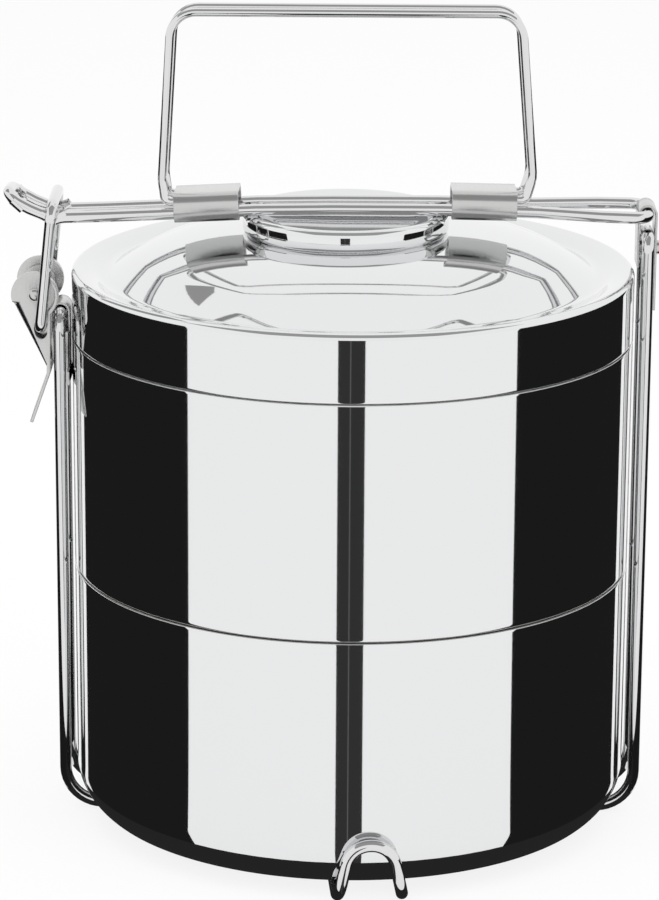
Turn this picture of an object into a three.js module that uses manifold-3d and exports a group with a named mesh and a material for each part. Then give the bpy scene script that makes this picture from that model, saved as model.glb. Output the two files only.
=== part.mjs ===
import * as THREE from 'three';
import { mergeVertices } from 'three/addons/utils/BufferGeometryUtils.js';
import Module from 'manifold-3d';

const wasm = await Module();
wasm.setup();

// Insulated tiffin box: two double-walled containers and a lid, clamped in a wire frame by a
// hinged top bar with a rigid handle and an over-centre latch. Millimetres, +Z up, front is -Y.
// Heights count up from the surface that the frame stands on.

// Stock: wires, sheets and clearances
const frameWire = 3;
const handleWire = 2.2;
const linkWire = 2.8;
const fittingSheet = 0.6;
const leverSheet = 0.8;
const wallSheet = 0.6;
const gap = 0.3;
const overrun = 1;

// Containers and lid
const outerDiameter = 140;
const lowerHeight = 62.35;
const upperHeight = 58.35;
const skirtHeight = 16.8;
const domeRise = 9;
const domePower = 4;
const rimFall = 1.9;
const rimWidth = 8.5;
const rimRadius = 1.5;
const rimCurl = 105;
const troughShare = 0.985;
const domeShares = [0.94, 0.8, 0.62, 0.42, 0.2];
const baseCornerRadius = 12;
const baseCornerDrop = 9.8;
const baseRingWidth = 7;
const baseRecess = 3.7;
const bottomEdgeRadius = 0.8;
const doubleWall = 7;
const bowlCornerRadius = 9;
const bowlFloorLift = 13.7;
const plugClearance = 2;
const stackPlugDepth = 6;
const lidPlugDepth = 8;
const plugCornerRadius = 2;
const upperBaseRing = 11;
const discOverlap = 3;
const gasketHeight = 5;

// Knob and its fixing
const knobDiameter = 51.2;
const knobBand = 4.9;
const knobOverhang = 3.6;
const neckHeight = 0.07;
const knobWall = 1.5;
const knobDish = 2.3;
const knobGroove = 1.6;
const grooveClearance = 0.7;
const knobEdgeRadius = 1.1;
const knobCurl = 110;
const dishFlatShare = 0.7;
const dishEdgeShare = 1 / 3;
const knobOffset = -1.9;
const studDiameter = 4;
const studSeat = 0.6;
const washerDiameter = 12;
const washerThickness = 0.8;
const nutAcrossFlats = 7;
const nutHeight = 3.2;
const studTail = 0.5;
const pocketClearance = 1.6;

// Wire frame
const wirePitch = 17;
const latchUprightDrop = 11.5;
const topBend = 4;
const baseBend = 9.5;
const footPitch = 15.8;
const footArchHeight = 15.5;
const footArchWidth = 10;
const footArchBend = 6;
const footStandOff = 2.6;
const footBend = 5;
const footTurn = THREE.MathUtils.degToRad(4.2);
const footRampLength = 8;

// Top bar, sleeves and handle. The bar's shares give its height along X, as shares of the uprights'
// reach and of the camber, and the hook's are shares of its length and rise.
const barCamber = 2.5;
const barShares = [[1, -0.4], [0.84, -0.3], [0.62, -0.16], [0.3, 0], [-0.07, 0], [-0.33, -0.12],
  [-0.66, -0.6], [-0.85, -0.85], [-1, -1]];
const hookLength = 12.3;
const hookRise = 5.8;
const hookBend = 5;
const hookShares = [[0.08, -0.11], [0.24, 0.08], [0.56, 0.37], [0.84, 0.69], [1, 1]];
const handleLean = THREE.MathUtils.degToRad(3);
const handleOffset = -1.96;
const sleeveLength = 16;
const sleeveClearance = 0.55;
const sleeveCorner = 2.4;
const handleRise = 48.03;
const handleTopWidth = 84.4;
const handleTopBend = 6.4;
const handleFootBend = 1.8;
const handleFootLean = 0.3;
const handleSlantHeight = 5.5;
const handleSlantBend = 8;

// Hinge strap
const hingeLift = 4.9;
const strapWidth = 9;
const hingeInnerLeaf = 13.5;
const hingeOuterLeaf = 24.3;
const rivetDiameter = 2.4;
const rivetHeadDiameter = 3.6;
const rivetHeadHeight = 1.2;
const rivetSeat = 1;

// Latch bracket, lever and link
const pivotStandOff = 5.9;
const pivotLift = 5.4;
const linkPinOffset = 1.4;
const linkPinDrop = 8;
const linkTopStandOff = 1.2;
const linkTopSeat = 1.1;
const linkTopBend = 4;
const linkFootBend = 2;
const linkClearance = 0.4;
const linkHoleClearance = 0.35;
const linkPinTail = 0.7;
const latchPinDiameter = 3;
const latchHeadDiameter = 3.5;
const latchHeadHeight = 0.6;
const earRadius = 4;
const earSheet = 0.75;
const earDrop = 4.6;
const bracketLength = 17.5;
const bracketFootHeight = 3.5;
const bracketFootWidth = 19.6;
const bracketWidth = 8.4;
const bracketOuterLeaf = 3.2;
const cheekClearance = 1.6;
const leverRadius = 5.9;
const leverLength = 19.4;
const leverFootWidth = 0.5;
const leverStandOff = 0.3;
const tabReach = 5.3;
const tabDrop = 12.9;
const tabWidth = 15;

// Counts of facets
const turnSteps = 40;
const wireSides = 8;
const bendSteps = 5;
const arcSteps = 8;

// Levels worked out from the sizes above
const outerRadius = outerDiameter / 2;
const baseZ = frameWire + gap;
const lowerTop = baseZ + lowerHeight;
const upperBottom = lowerTop + gap;
const upperTop = upperBottom + upperHeight;
const lidBottom = upperTop + gap;
const rimTop = lidBottom + skirtHeight;
const bowlRadius = outerRadius - doubleWall;
const plugRadius = bowlRadius - plugClearance;
const wallInner = outerRadius - wallSheet;
const flangeRadius = wallInner - gap;
const halfPitch = wirePitch / 2;
const wireRadius = frameWire / 2;
const domeEdge = outerRadius - rimWidth;
const domeEdgeZ = rimTop - rimFall;
const domeTop = rimTop + domeRise;
const domeAt = (radius) => domeTop - (domeTop - domeEdgeZ) * (radius / domeEdge) ** domePower;

// The knob stands on the dome, and the bar lies in grooves across the knob's rim
const knobShift = Math.abs(knobOffset);
const knobRadius = knobDiameter / 2;
const neckRadius = knobRadius - knobOverhang;
const neckFoot = domeAt(neckRadius - knobWall - knobShift) + gap;
const knobLow = neckFoot + neckHeight;
const knobTop = knobLow + knobBand;
const grooveFloor = knobTop - knobGroove;
const barHeight = grooveFloor + grooveClearance + wireRadius + halfPitch * Math.tan(handleLean);
const hingeHeight = barHeight + barShares[0][1] * barCamber;

// The uprights stand off the wall by a strap's leaf
const strapBore = wireRadius + gap;
const strapOuter = strapBore + fittingSheet;
const uprightReach = outerRadius + gap + strapOuter;
const latchUprightHeight = rimTop - latchUprightDrop;
const hingeUprightHeight = hingeHeight - hingeLift;
const footCrossLift = frameWire + gap;
const rightReach = uprightReach + strapOuter + gap + rivetHeadHeight;
const leftReach = uprightReach + hookLength + wireRadius;

// A sleeve holds the bar's wires with the handle's wires on them
const sleeveSpacing = knobDiameter + sleeveLength + 2 * sleeveClearance;
const sleeveDepth = wirePitch + frameWire + 2 * (gap + fittingSheet);
const sleeveDrop = wireRadius + gap + fittingSheet;
const handleWireLift = wireRadius + handleWire / 2 + gap;
const sleeveHeight = sleeveDrop + handleWireLift + handleWire / 2 + gap + fittingSheet;

// Turns a geometry into a closed solid with shared corners
function solid(geometry) {
  geometry.deleteAttribute('normal');
  geometry.deleteAttribute('uv');
  const merged = mergeVertices(geometry);
  const mesh = new wasm.Mesh({
    numProp: 3,
    vertProperties: new Float32Array(merged.attributes.position.array),
    triVerts: new Uint32Array(merged.index.array),
  });
  return new wasm.Manifold(mesh);
}

function geometryOf(manifold) {
  const mesh = manifold.getMesh();
  const geometry = new THREE.BufferGeometry();
  geometry.setAttribute('position', new THREE.BufferAttribute(mesh.vertProperties, 3));
  geometry.setIndex(new THREE.BufferAttribute(mesh.triVerts, 1));
  geometry.computeVertexNormals();
  return geometry;
}

// Points of an arc in the plane of a profile, angles in degrees
function arc(centreX, centreY, radius, from, to, steps = arcSteps) {
  return Array.from({ length: steps + 1 }, (_, i) => {
    const angle = THREE.MathUtils.degToRad(from + ((to - from) * i) / steps);
    return [centreX + radius * Math.cos(angle), centreY + radius * Math.sin(angle)];
  });
}

// Twice the area inside an outline, positive where it runs anticlockwise
const signedArea = (points) => points.reduce((sum, [x, y], i) => {
  const [nextX, nextY] = points[(i + 1) % points.length];
  return sum + x * nextY - nextX * y;
}, 0);

// Solid of revolution about Z from [radius, height] points
function turned(points) {
  const upwards = signedArea(points) > 0 ? points : [...points].reverse();
  const profile = upwards.map(([radius, height]) => new THREE.Vector2(radius, height));
  const geometry = new THREE.LatheGeometry(profile, turnSteps);
  geometry.rotateX(Math.PI / 2);
  return solid(geometry);
}

const closedTurned = (points) => turned([...points, points[0]]);

// Closes a sheet's face with the same line moved to its right by the sheet's thickness
function sheetProfile(points, thickness) {
  const moved = points.map((point, i) => {
    const before = points[Math.max(i - 1, 0)];
    const after = points[Math.min(i + 1, points.length - 1)];
    const unit = ([ax, ay], [bx, by]) => {
      const length = Math.hypot(bx - ax, by - ay) || 1;
      return [(bx - ax) / length, (by - ay) / length];
    };
    const first = i > 0 ? unit(before, point) : unit(point, after);
    const second = i < points.length - 1 ? unit(point, after) : first;
    const normal = [first[1] + second[1], -(first[0] + second[0])];
    const share = 2 / (normal[0] ** 2 + normal[1] ** 2);
    const onAxis = point[0] === 0;
    const move = thickness * share;
    return [onAxis ? 0 : point[0] + normal[0] * move, point[1] + normal[1] * move];
  });
  return [...points, ...moved.reverse()];
}

// Plate with its outline in X and Z, from one Y to another
function plate(points, fromY, toY, holes = []) {
  const shape = new THREE.Shape(points.map(([x, z]) => new THREE.Vector2(x, z)));
  for (const [x, z, radius] of holes) {
    const ring = arc(x, z, radius, 0, 360, 2 * arcSteps).slice(0, -1);
    shape.holes.push(new THREE.Path(ring.map(([hx, hz]) => new THREE.Vector2(hx, hz))));
  }
  const geometry = new THREE.ExtrudeGeometry(shape, { depth: toY - fromY, bevelEnabled: false });
  geometry.rotateX(Math.PI / 2);
  geometry.translate(0, toY, 0);
  return solid(geometry);
}

function box(fromX, toX, fromY, toY, fromZ, toZ) {
  const geometry = new THREE.BoxGeometry(toX - fromX, toY - fromY, toZ - fromZ);
  geometry.translate((fromX + toX) / 2, (fromY + toY) / 2, (fromZ + toZ) / 2);
  return solid(geometry);
}

// Round bar along X, Y or Z
function roundBar(radius, fromLength, toLength, axis, centre) {
  const geometry = new THREE.CylinderGeometry(radius, radius, toLength - fromLength, 2 * wireSides);
  geometry.translate(0, (fromLength + toLength) / 2, 0);
  if (axis === 'x') geometry.rotateZ(-Math.PI / 2);
  if (axis === 'z') geometry.rotateX(Math.PI / 2);
  geometry.translate(...centre);
  return solid(geometry);
}

// A wire's centre line: straight runs between corners, each corner rounded by its bend
class WireLine extends THREE.Curve {
  constructor(corners, closed) {
    super();
    this.closed = closed;
    this.points = corners.flatMap(([x, y, z, bend = 0], i) => {
      const here = new THREE.Vector3(x, y, z);
      const before = corners.at(i - 1);
      const after = corners[(i + 1) % corners.length];
      if (!bend) return [here];
      const back = new THREE.Vector3(...before.slice(0, 3)).sub(here).normalize();
      const on = new THREE.Vector3(...after.slice(0, 3)).sub(here).normalize();
      const turn = Math.PI - back.angleTo(on);
      const tangent = bend * Math.tan(turn / 2);
      const centre = back.clone().add(on).normalize().multiplyScalar(bend / Math.cos(turn / 2)).add(here);
      const start = here.clone().addScaledVector(back, tangent).sub(centre);
      const axis = new THREE.Vector3().crossVectors(on, back).normalize();
      const steps = Math.max(2, Math.ceil((bendSteps * turn) / (Math.PI / 2)));
      return Array.from({ length: steps + 1 }, (_, k) =>
        start.clone().applyAxisAngle(axis, (turn * k) / steps).add(centre));
    });
    if (closed) this.points.push(this.points[0].clone());
    this.steps = this.points.length - 1;
  }

  getPointAt(share) {
    const place = share * this.steps;
    const index = Math.min(Math.floor(place + 1e-9), this.steps - 1);
    return this.points[index].clone().lerp(this.points[index + 1], place - index);
  }

  getPoint(share) {
    return this.getPointAt(share);
  }

  getTangentAt(share) {
    const index = Math.round(share * this.steps);
    const last = this.steps;
    const before = index > 0 ? index - 1 : this.closed ? last - 1 : 0;
    const after = index < last ? index + 1 : this.closed ? 1 : last;
    const here = this.points[index];
    const into = here.clone().sub(this.points[before]).normalize();
    const out = this.points[after].clone().sub(here).normalize();
    return into.add(out).normalize();
  }
}

function closedWire(corners, diameter) {
  const line = new WireLine(corners, true);
  return solid(new THREE.TubeGeometry(line, line.steps, diameter / 2, wireSides, true));
}

function openWire(corners, diameter) {
  const line = new WireLine(corners, false);
  const section = new THREE.Shape(arc(0, 0, diameter / 2, 0, 360, wireSides).slice(0, -1)
    .map(([x, y]) => new THREE.Vector2(x, y)));
  return solid(new THREE.ExtrudeGeometry(section, { steps: line.steps, extrudePath: line }));
}

// Point where a line from a place just touches a circle, on the side that is asked for
function touchPoint(centreX, centreZ, radius, x, z, side) {
  const distance = Math.hypot(x - centreX, z - centreZ);
  const towards = Math.atan2(z - centreZ, x - centreX);
  const angle = towards + side * Math.acos(radius / distance);
  return [centreX + radius * Math.cos(angle), centreZ + radius * Math.sin(angle), angle];
}

// Finishes: colour, roughness and metalness
const finishes = {
  polished: [0xd9dadb, 0.12, 1],
  satin: [0xbdbdbb, 0.35, 1],
  wire: [0xc4c5c6, 0.2, 1],
  inside: [0xc9cacb, 0.3, 1],
  foam: [0xe8dfc2, 0.95, 0],
  rubber: [0xdadbd6, 0.6, 0],
};

const assembly = new THREE.Group();

function add(name, manifold, finish, parent = assembly) {
  const [color, roughness, metalness] = finishes[finish];
  const material = new THREE.MeshStandardMaterial({ color, roughness, metalness });
  const mesh = new THREE.Mesh(geometryOf(manifold), material);
  mesh.name = name;
  parent.add(mesh);
  return mesh;
}

// Inner bowl with a turned-out flange that closes the container's rim
function bowl(floorZ, topZ) {
  const corner = arc(bowlRadius - bowlCornerRadius, floorZ + bowlCornerRadius, bowlCornerRadius,
    -90, 0, 3);
  const inside = [[0, floorZ], ...corner, [bowlRadius, topZ], [flangeRadius, topZ]];
  return turned(sheetProfile(inside, wallSheet));
}

// Filling between an outer shell and its bowl: the shell's side is given, the bowl's is shared
function filling(shellSide, floorZ, topZ) {
  const clear = wallSheet + gap;
  const top = topZ - clear;
  const corner = arc(bowlRadius - bowlCornerRadius, floorZ + bowlCornerRadius,
    bowlCornerRadius + clear, 0, -90, 3);
  return turned([...shellSide, [flangeRadius, top], [bowlRadius + clear, top], ...corner,
    [0, floorZ - clear]]);
}

const flatDisc = (radius, fromZ, toZ) => turned([[0, fromZ], [radius, fromZ], [radius, toZ], [0, toZ]]);

function gasket(topZ) {
  const inner = plugRadius + gap;
  const outer = bowlRadius - gap;
  const low = topZ - gasketHeight;
  return closedTurned([[inner, low], [outer, low], [outer, topZ], [inner, topZ]]);
}

// Lower container
const cornerCentre = outerRadius - baseCornerRadius;
const cornerZ = baseZ + baseCornerDrop;
const cornerEnd = THREE.MathUtils.radToDeg(Math.asin(baseCornerDrop / baseCornerRadius));
const ringEdge = cornerCentre + baseCornerRadius * Math.cos(THREE.MathUtils.degToRad(cornerEnd));
const ringInner = ringEdge - baseRingWidth;
const recessZ = baseZ + baseRecess;
const lowerFloor = baseZ + bowlFloorLift;
add('lower_outer_shell', closedTurned(sheetProfile([
  [ringInner, recessZ], [ringInner, baseZ],
  ...arc(cornerCentre, cornerZ, baseCornerRadius, -cornerEnd, 0, 5), [outerRadius, lowerTop],
].reverse(), wallSheet)), 'polished');
add('lower_inner_bowl', bowl(lowerFloor, lowerTop), 'inside');
const lowerDiscZ = recessZ + gap;
add('lower_base_disc', flatDisc(ringInner + discOverlap, lowerDiscZ, lowerDiscZ + wallSheet), 'satin');
const fillBase = lowerDiscZ + wallSheet + gap;
const fillCorner = baseCornerRadius - wallSheet - gap;
const fillStart = THREE.MathUtils.radToDeg(Math.asin((cornerZ - fillBase) / fillCorner));
add('lower_insulation', filling([
  [0, fillBase], ...arc(cornerCentre, cornerZ, fillCorner, -fillStart, 0, 3),
], lowerFloor, lowerTop), 'foam');

// Upper container, with a plug that seats in the lower bowl
const stackPlugZ = upperBottom - stackPlugDepth;
const upperFloor = upperBottom + bowlFloorLift - stackPlugDepth;
const upperOpening = plugRadius - upperBaseRing;
add('upper_outer_shell', closedTurned(sheetProfile([
  [outerRadius, upperTop],
  ...arc(outerRadius - bottomEdgeRadius, upperBottom + bottomEdgeRadius, bottomEdgeRadius, 0, -90, 2),
  [plugRadius, upperBottom],
  ...arc(plugRadius - plugCornerRadius, stackPlugZ + plugCornerRadius, plugCornerRadius, 0, -90, 2),
  [upperOpening, stackPlugZ],
], wallSheet)), 'polished');
add('upper_inner_bowl', bowl(upperFloor, upperTop), 'inside');
const upperDiscZ = stackPlugZ + wallSheet + gap;
add('upper_base_disc', flatDisc(upperOpening + discOverlap, upperDiscZ, upperDiscZ + wallSheet), 'inside');
const clearOfWall = wallSheet + gap;
const upperFillBase = upperDiscZ + clearOfWall;
add('upper_insulation', filling([
  [0, upperFillBase], [plugRadius - clearOfWall - plugCornerRadius, upperFillBase],
  [plugRadius - clearOfWall, upperFillBase + plugCornerRadius],
  [plugRadius - clearOfWall, upperBottom + clearOfWall],
  [flangeRadius - bottomEdgeRadius, upperBottom + clearOfWall],
  [flangeRadius, upperBottom + clearOfWall + bottomEdgeRadius],
], upperFloor, upperTop), 'foam');
add('upper_gasket', gasket(upperBottom - gap), 'rubber');

// Lid shell: skirt, rounded rim, shallow trough and dome with a hole for the stud
const studHole = studDiameter / 2 + gap;
const troughRadius = domeEdge * troughShare;
const rimLine = [
  ...arc(outerRadius - rimRadius, rimTop - rimRadius, rimRadius, 0, rimCurl, 4),
  [domeEdge, domeEdgeZ],
];
const domeLine = [[troughRadius, domeEdgeZ], ...domeShares.map((share) => [domeEdge * share,
  domeAt(domeEdge * share)]), [0, domeTop]];
add('lid_outer_shell', turned(sheetProfile([
  [outerRadius, lidBottom], ...rimLine, ...domeLine,
].reverse(), wallSheet)).subtract(roundBar(studHole, domeTop - studSeat - wallSheet,
  domeTop + overrun, 'z', [knobOffset, 0, 0])), 'polished');

// Lid pan, its plug and the filling between
const panFlangeZ = lidBottom + gap;
const lidPlugZ = lidBottom - lidPlugDepth;
const studTopZ = domeTop + gap + studSeat + gap;
add('lid_inner_pan', turned(sheetProfile([
  [0, lidPlugZ],
  ...arc(plugRadius - plugCornerRadius, lidPlugZ + plugCornerRadius, plugCornerRadius, -90, 0, 2),
  [plugRadius, panFlangeZ], [flangeRadius, panFlangeZ],
], -wallSheet)), 'inside');
const pocketRadius = washerDiameter / 2 + knobShift + pocketClearance;
const lidFillBase = lidPlugZ + clearOfWall;
const lidFillShoulder = panFlangeZ + clearOfWall;
const underDome = (share) => [domeEdge * share, domeAt(domeEdge * share) - 2 * clearOfWall];
add('lid_insulation', closedTurned([
  [pocketRadius, lidFillBase], [plugRadius - clearOfWall - plugCornerRadius, lidFillBase],
  [plugRadius - clearOfWall, lidFillBase + plugCornerRadius],
  [plugRadius - clearOfWall, lidFillShoulder], [flangeRadius, lidFillShoulder],
  [flangeRadius, domeEdgeZ - 2 * clearOfWall], [domeEdge, domeEdgeZ - 2 * clearOfWall],
  ...domeShares.map(underDome), [pocketRadius, domeAt(pocketRadius) - 2 * clearOfWall],
]), 'foam');
add('lid_gasket', gasket(lidBottom), 'rubber');

// Knob: a dish on a neck with two grooves for the bar, held by a stud, a washer and a nut
const knobGroup = new THREE.Group();
knobGroup.position.x = knobOffset;
assembly.add(knobGroup);
const knobUnder = domeTop + gap;
const dishRadius = knobRadius - 2 * knobEdgeRadius;
const groove = (y) => box(-knobRadius - overrun, knobRadius + overrun, y - wireRadius - gap,
  y + wireRadius + gap, grooveFloor, knobTop + overrun);
add('lid_knob', turned([
  [0, knobTop - knobDish], [dishRadius * dishFlatShare, knobTop - knobDish],
  [dishRadius, knobTop - knobDish * dishEdgeShare],
  ...arc(knobRadius - knobEdgeRadius, knobTop - knobEdgeRadius, knobEdgeRadius, knobCurl, 0, 2),
  ...arc(knobRadius - knobEdgeRadius, knobLow + knobEdgeRadius, knobEdgeRadius, 0, -90, 2),
  [neckRadius, knobLow], [neckRadius, neckFoot], [neckRadius - knobWall, neckFoot],
  [neckRadius - knobWall, knobUnder], [studHole, knobUnder], [studHole, studTopZ], [0, studTopZ],
].reverse()).subtract(groove(-halfPitch)).subtract(groove(halfPitch)), 'polished', knobGroup);
const washerZ = domeAt(washerDiameter / 2 + knobShift) - clearOfWall;
const nutZ = washerZ - washerThickness - gap;
const studBottom = nutZ - nutHeight - studTail;
add('knob_stud', roundBar(studDiameter / 2, studBottom, studTopZ - gap, 'z', [0, 0, 0]), 'inside',
  knobGroup);
add('knob_washer', closedTurned([
  [studHole, washerZ - washerThickness], [washerDiameter / 2, washerZ - washerThickness],
  [washerDiameter / 2, washerZ], [studHole, washerZ],
]), 'inside', knobGroup);
add('knob_nut', hexNut(), 'inside', knobGroup);

function hexNut() {
  const corner = nutAcrossFlats / Math.sqrt(3);
  const hexagon = new THREE.CylinderGeometry(corner, corner, nutHeight, 6);
  const bore = new THREE.CylinderGeometry(studHole, studHole, nutHeight + overrun, 2 * wireSides);
  for (const geometry of [hexagon, bore]) {
    geometry.rotateX(Math.PI / 2);
    geometry.translate(0, 0, nutZ - nutHeight / 2);
  }
  return solid(hexagon).subtract(solid(bore));
}

// Side loop: two uprights on each side, joined over the top and under the base
const wireFloor = wireRadius;
const side = [
  [-uprightReach, halfPitch, latchUprightHeight, topBend],
  [-uprightReach, -halfPitch, latchUprightHeight, topBend],
  [-uprightReach, -halfPitch, wireFloor, baseBend],
  [uprightReach, -halfPitch, wireFloor, baseBend],
  [uprightReach, -halfPitch, hingeUprightHeight, topBend],
  [uprightReach, halfPitch, hingeUprightHeight, topBend],
  [uprightReach, halfPitch, wireFloor, baseBend],
  [-uprightReach, halfPitch, wireFloor, baseBend],
];
add('side_wire_loop', closedWire(side, frameWire), 'wire');

// Foot loop: passes over the side loop under the base, and stands up in an arch front and back
const footReach = outerRadius + footStandOff;
const footHalf = footPitch / 2;
const archHalf = footArchWidth / 2;
const crossHalf = halfPitch + wireRadius + frameWire;
const halfFoot = (turn) => [
  [footHalf * turn, (crossHalf + footRampLength) * turn, wireFloor],
  [footHalf * turn, crossHalf * turn, wireFloor + footCrossLift],
  [footHalf * turn, -crossHalf * turn, wireFloor + footCrossLift],
  [footHalf * turn, -(crossHalf + footRampLength) * turn, wireFloor],
  [footHalf * turn, -footReach * turn, wireFloor, footBend],
  [archHalf * turn, -footReach * turn, footArchHeight, footArchBend],
  [-archHalf * turn, -footReach * turn, footArchHeight, footArchBend],
  [-footHalf * turn, -footReach * turn, wireFloor, footBend],
];
const footWires = add('foot_wire_loop', closedWire([...halfFoot(1), ...halfFoot(-1)], frameWire), 'wire');
footWires.rotation.z = footTurn;

// The top bar's centre line in X and Z, from the hinge to the hook
const barPoints = [
  ...barShares.map(([x, z]) => [x * uprightReach, barHeight + z * barCamber]),
  ...hookShares.map(([x, z]) => [-uprightReach - x * hookLength,
    barHeight - barCamber + z * hookRise]),
];

function barAt(x) {
  const after = barPoints.findIndex(([px]) => px <= x);
  const [x0, z0] = barPoints[after - 1];
  const [x1, z1] = barPoints[after];
  return { z: z0 + ((z1 - z0) * (x - x0)) / (x1 - x0), slope: Math.atan2(z1 - z0, x1 - x0) };
}

// The bar is level across at the hinge and leans with the handle from the first sleeve on
const leanFrom = uprightReach - strapWidth;
const leanFull = handleOffset + sleeveSpacing / 2 + sleeveLength / 2 + strapWidth / 2;
const leanShare = (x) => THREE.MathUtils.clamp((leanFrom - x) / (leanFrom - leanFull), 0, 1);
const barSide = (y) => barPoints.map(([x, z], i) => {
  const ends = i === 0 ? topBend : i === barPoints.length - 1 ? hookBend : 0;
  return [x, y, z - y * Math.tan(handleLean) * leanShare(x), ends];
});
add('top_bar_loop', closedWire([...barSide(-halfPitch), ...barSide(halfPitch).reverse()], frameWire),
  'wire');

// Sleeves round the bar wires and the ends of the handle wires
const handle = new THREE.Group();
handle.position.z = barHeight;
handle.rotation.x = -handleLean;
assembly.add(handle);

function sleeveOutline(inset) {
  const half = sleeveDepth / 2 - inset;
  const low = -sleeveDrop + inset;
  const high = sleeveHeight - sleeveDrop - inset;
  const round = sleeveCorner - inset;
  const steps = 3;
  return [
    ...arc(half - round, high - round, round, 0, 90, steps),
    ...arc(-half + round, high - round, round, 90, 180, steps),
    ...arc(-half + round, low + round, round, 180, 270, steps),
    ...arc(half - round, low + round, round, 270, 360, steps),
  ].map(([x, y]) => new THREE.Vector2(x, y));
}

function sleeve() {
  const shape = new THREE.Shape(sleeveOutline(0));
  shape.holes.push(new THREE.Path(sleeveOutline(fittingSheet)));
  const geometry = new THREE.ExtrudeGeometry(shape, { depth: sleeveLength, bevelEnabled: false });
  geometry.translate(0, 0, -sleeveLength / 2);
  geometry.rotateX(Math.PI / 2);
  geometry.rotateZ(Math.PI / 2);
  return solid(geometry);
}

for (const [name, turn] of [['sleeve_left', -1], ['sleeve_right', 1]]) {
  const x = handleOffset + (turn * sleeveSpacing) / 2;
  const at = barAt(x);
  const mesh = add(name, sleeve(), 'satin', handle);
  mesh.position.set(x, 0, at.z - barHeight);
  mesh.rotation.y = at.slope < -Math.PI / 2 ? -(at.slope + Math.PI) : Math.PI - at.slope;
}

// Handle wires: rigid, each end held in a sleeve above its bar wire
function handleSide(turn) {
  const inner = handleOffset + (turn * (sleeveSpacing - sleeveLength / 2)) / 2;
  const mouth = handleOffset + (turn * (sleeveSpacing + sleeveLength)) / 2;
  const outer = mouth + turn * (handleFootBend + gap);
  const level = (x) => barAt(x).z - barHeight + handleWireLift;
  return [
    [inner, level(inner)],
    [outer, level(outer), handleFootBend],
    [outer + turn * handleFootLean, level(outer) + handleSlantHeight, handleSlantBend],
    [handleOffset + (turn * handleTopWidth) / 2, handleRise, handleTopBend],
  ];
}

for (const [name, y] of [['bail_wire_front', -halfPitch], ['bail_wire_back', halfPitch]]) {
  const line = [...handleSide(-1), ...handleSide(1).reverse()];
  add(name, openWire(line.map(([x, z, bend]) => [x, y, z, bend]), handleWire), 'wire', handle);
}

// Strap folded over a wire: two leaves hang down from a round top
function foldedStrap(centreX, centreZ, leftLeaf, rightLeaf, width) {
  const outline = [
    [centreX - strapOuter, centreZ - leftLeaf],
    ...arc(centreX, centreZ, strapOuter, 180, 0),
    [centreX + strapOuter, centreZ - rightLeaf], [centreX + strapBore, centreZ - rightLeaf],
    ...arc(centreX, centreZ, strapBore, 0, 180), [centreX - strapBore, centreZ - leftLeaf],
  ];
  return plate(outline.reverse(), -width / 2, width / 2);
}

// Hinge strap and its rivet
const rivetZ = hingeUprightHeight - wireRadius - rivetSeat - rivetHeadDiameter / 2;
const rivetHole = rivetDiameter / 2 + gap;
const strapHole = roundBar(rivetHole, -strapOuter - overrun, strapOuter + overrun, 'x',
  [uprightReach, 0, rivetZ]);
add('hinge_strap', foldedStrap(uprightReach, hingeHeight, hingeInnerLeaf, hingeOuterLeaf, strapWidth)
  .subtract(strapHole), 'satin');
const collar = strapBore - gap;
add('hinge_rivet', roundBar(rivetDiameter / 2, -strapOuter, strapOuter + gap + rivetHeadHeight / 2, 'x',
  [uprightReach, 0, rivetZ])
  .add(roundBar(rivetHeadDiameter / 2, -collar, collar, 'x', [uprightReach, 0, rivetZ]))
  .add(roundBar(rivetHeadDiameter / 2, strapOuter + gap, strapOuter + gap + rivetHeadHeight, 'x',
    [uprightReach, 0, rivetZ])), 'satin');

// Latch bracket: folded over the left cross wire, with feet behind the uprights and two ears
const pivotX = -uprightReach - pivotStandOff;
const pivotZ = latchUprightHeight + pivotLift;
const outsideWire = -uprightReach - wireRadius - gap;
const rightEdge = outsideWire - leverStandOff;
const leverFootX = rightEdge - gap - leverFootWidth;
const leverFootZ = pivotZ - leverLength;
const earTop = latchUprightHeight - earDrop;
const bracketFoot = latchUprightHeight - bracketLength;
const leafOuter = -uprightReach + strapOuter;
const leafInner = -uprightReach + strapBore;
const [earTouchX, earTouchZ] = touchPoint(pivotX, pivotZ, leverRadius, leverFootX, leverFootZ, -1);
const leanX = (earTouchX - pivotX) / leverRadius;
const leanZ = (earTouchZ - pivotZ) / leverRadius;
const earStartAngle = THREE.MathUtils.radToDeg(Math.atan2(leanZ, leanX));
const footTop = bracketFoot + bracketFootHeight;
const earLowX = pivotX + leanX * earRadius
  + ((pivotZ + leanZ * earRadius - footTop) * leanZ) / leanX;
const earOutline = [
  [leafOuter, footTop], [leafOuter, earTop], [outsideWire, earTop],
  ...arc(pivotX, pivotZ, earRadius, 0, 360 + earStartAngle, 2 * arcSteps), [earLowX, footTop],
];
const pivotHole = latchPinDiameter / 2 + gap;
const ear = (fromY, toY) => plate(earOutline, fromY, toY, [[pivotX, pivotZ, pivotHole]]);
const earOuter = halfPitch - wireRadius - gap;
const earInner = earOuter - earSheet;
add('latch_bracket', foldedStrap(-uprightReach, latchUprightHeight, bracketOuterLeaf, bracketLength,
  bracketWidth)
  .add(box(leafInner, leafOuter, -bracketFootWidth / 2, bracketFootWidth / 2, bracketFoot, footTop))
  .add(box(leafInner, leafOuter, -earOuter, earOuter, bracketFoot, earTop))
  .add(ear(earInner, earOuter)).add(ear(-earOuter, -earInner)), 'satin');

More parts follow.
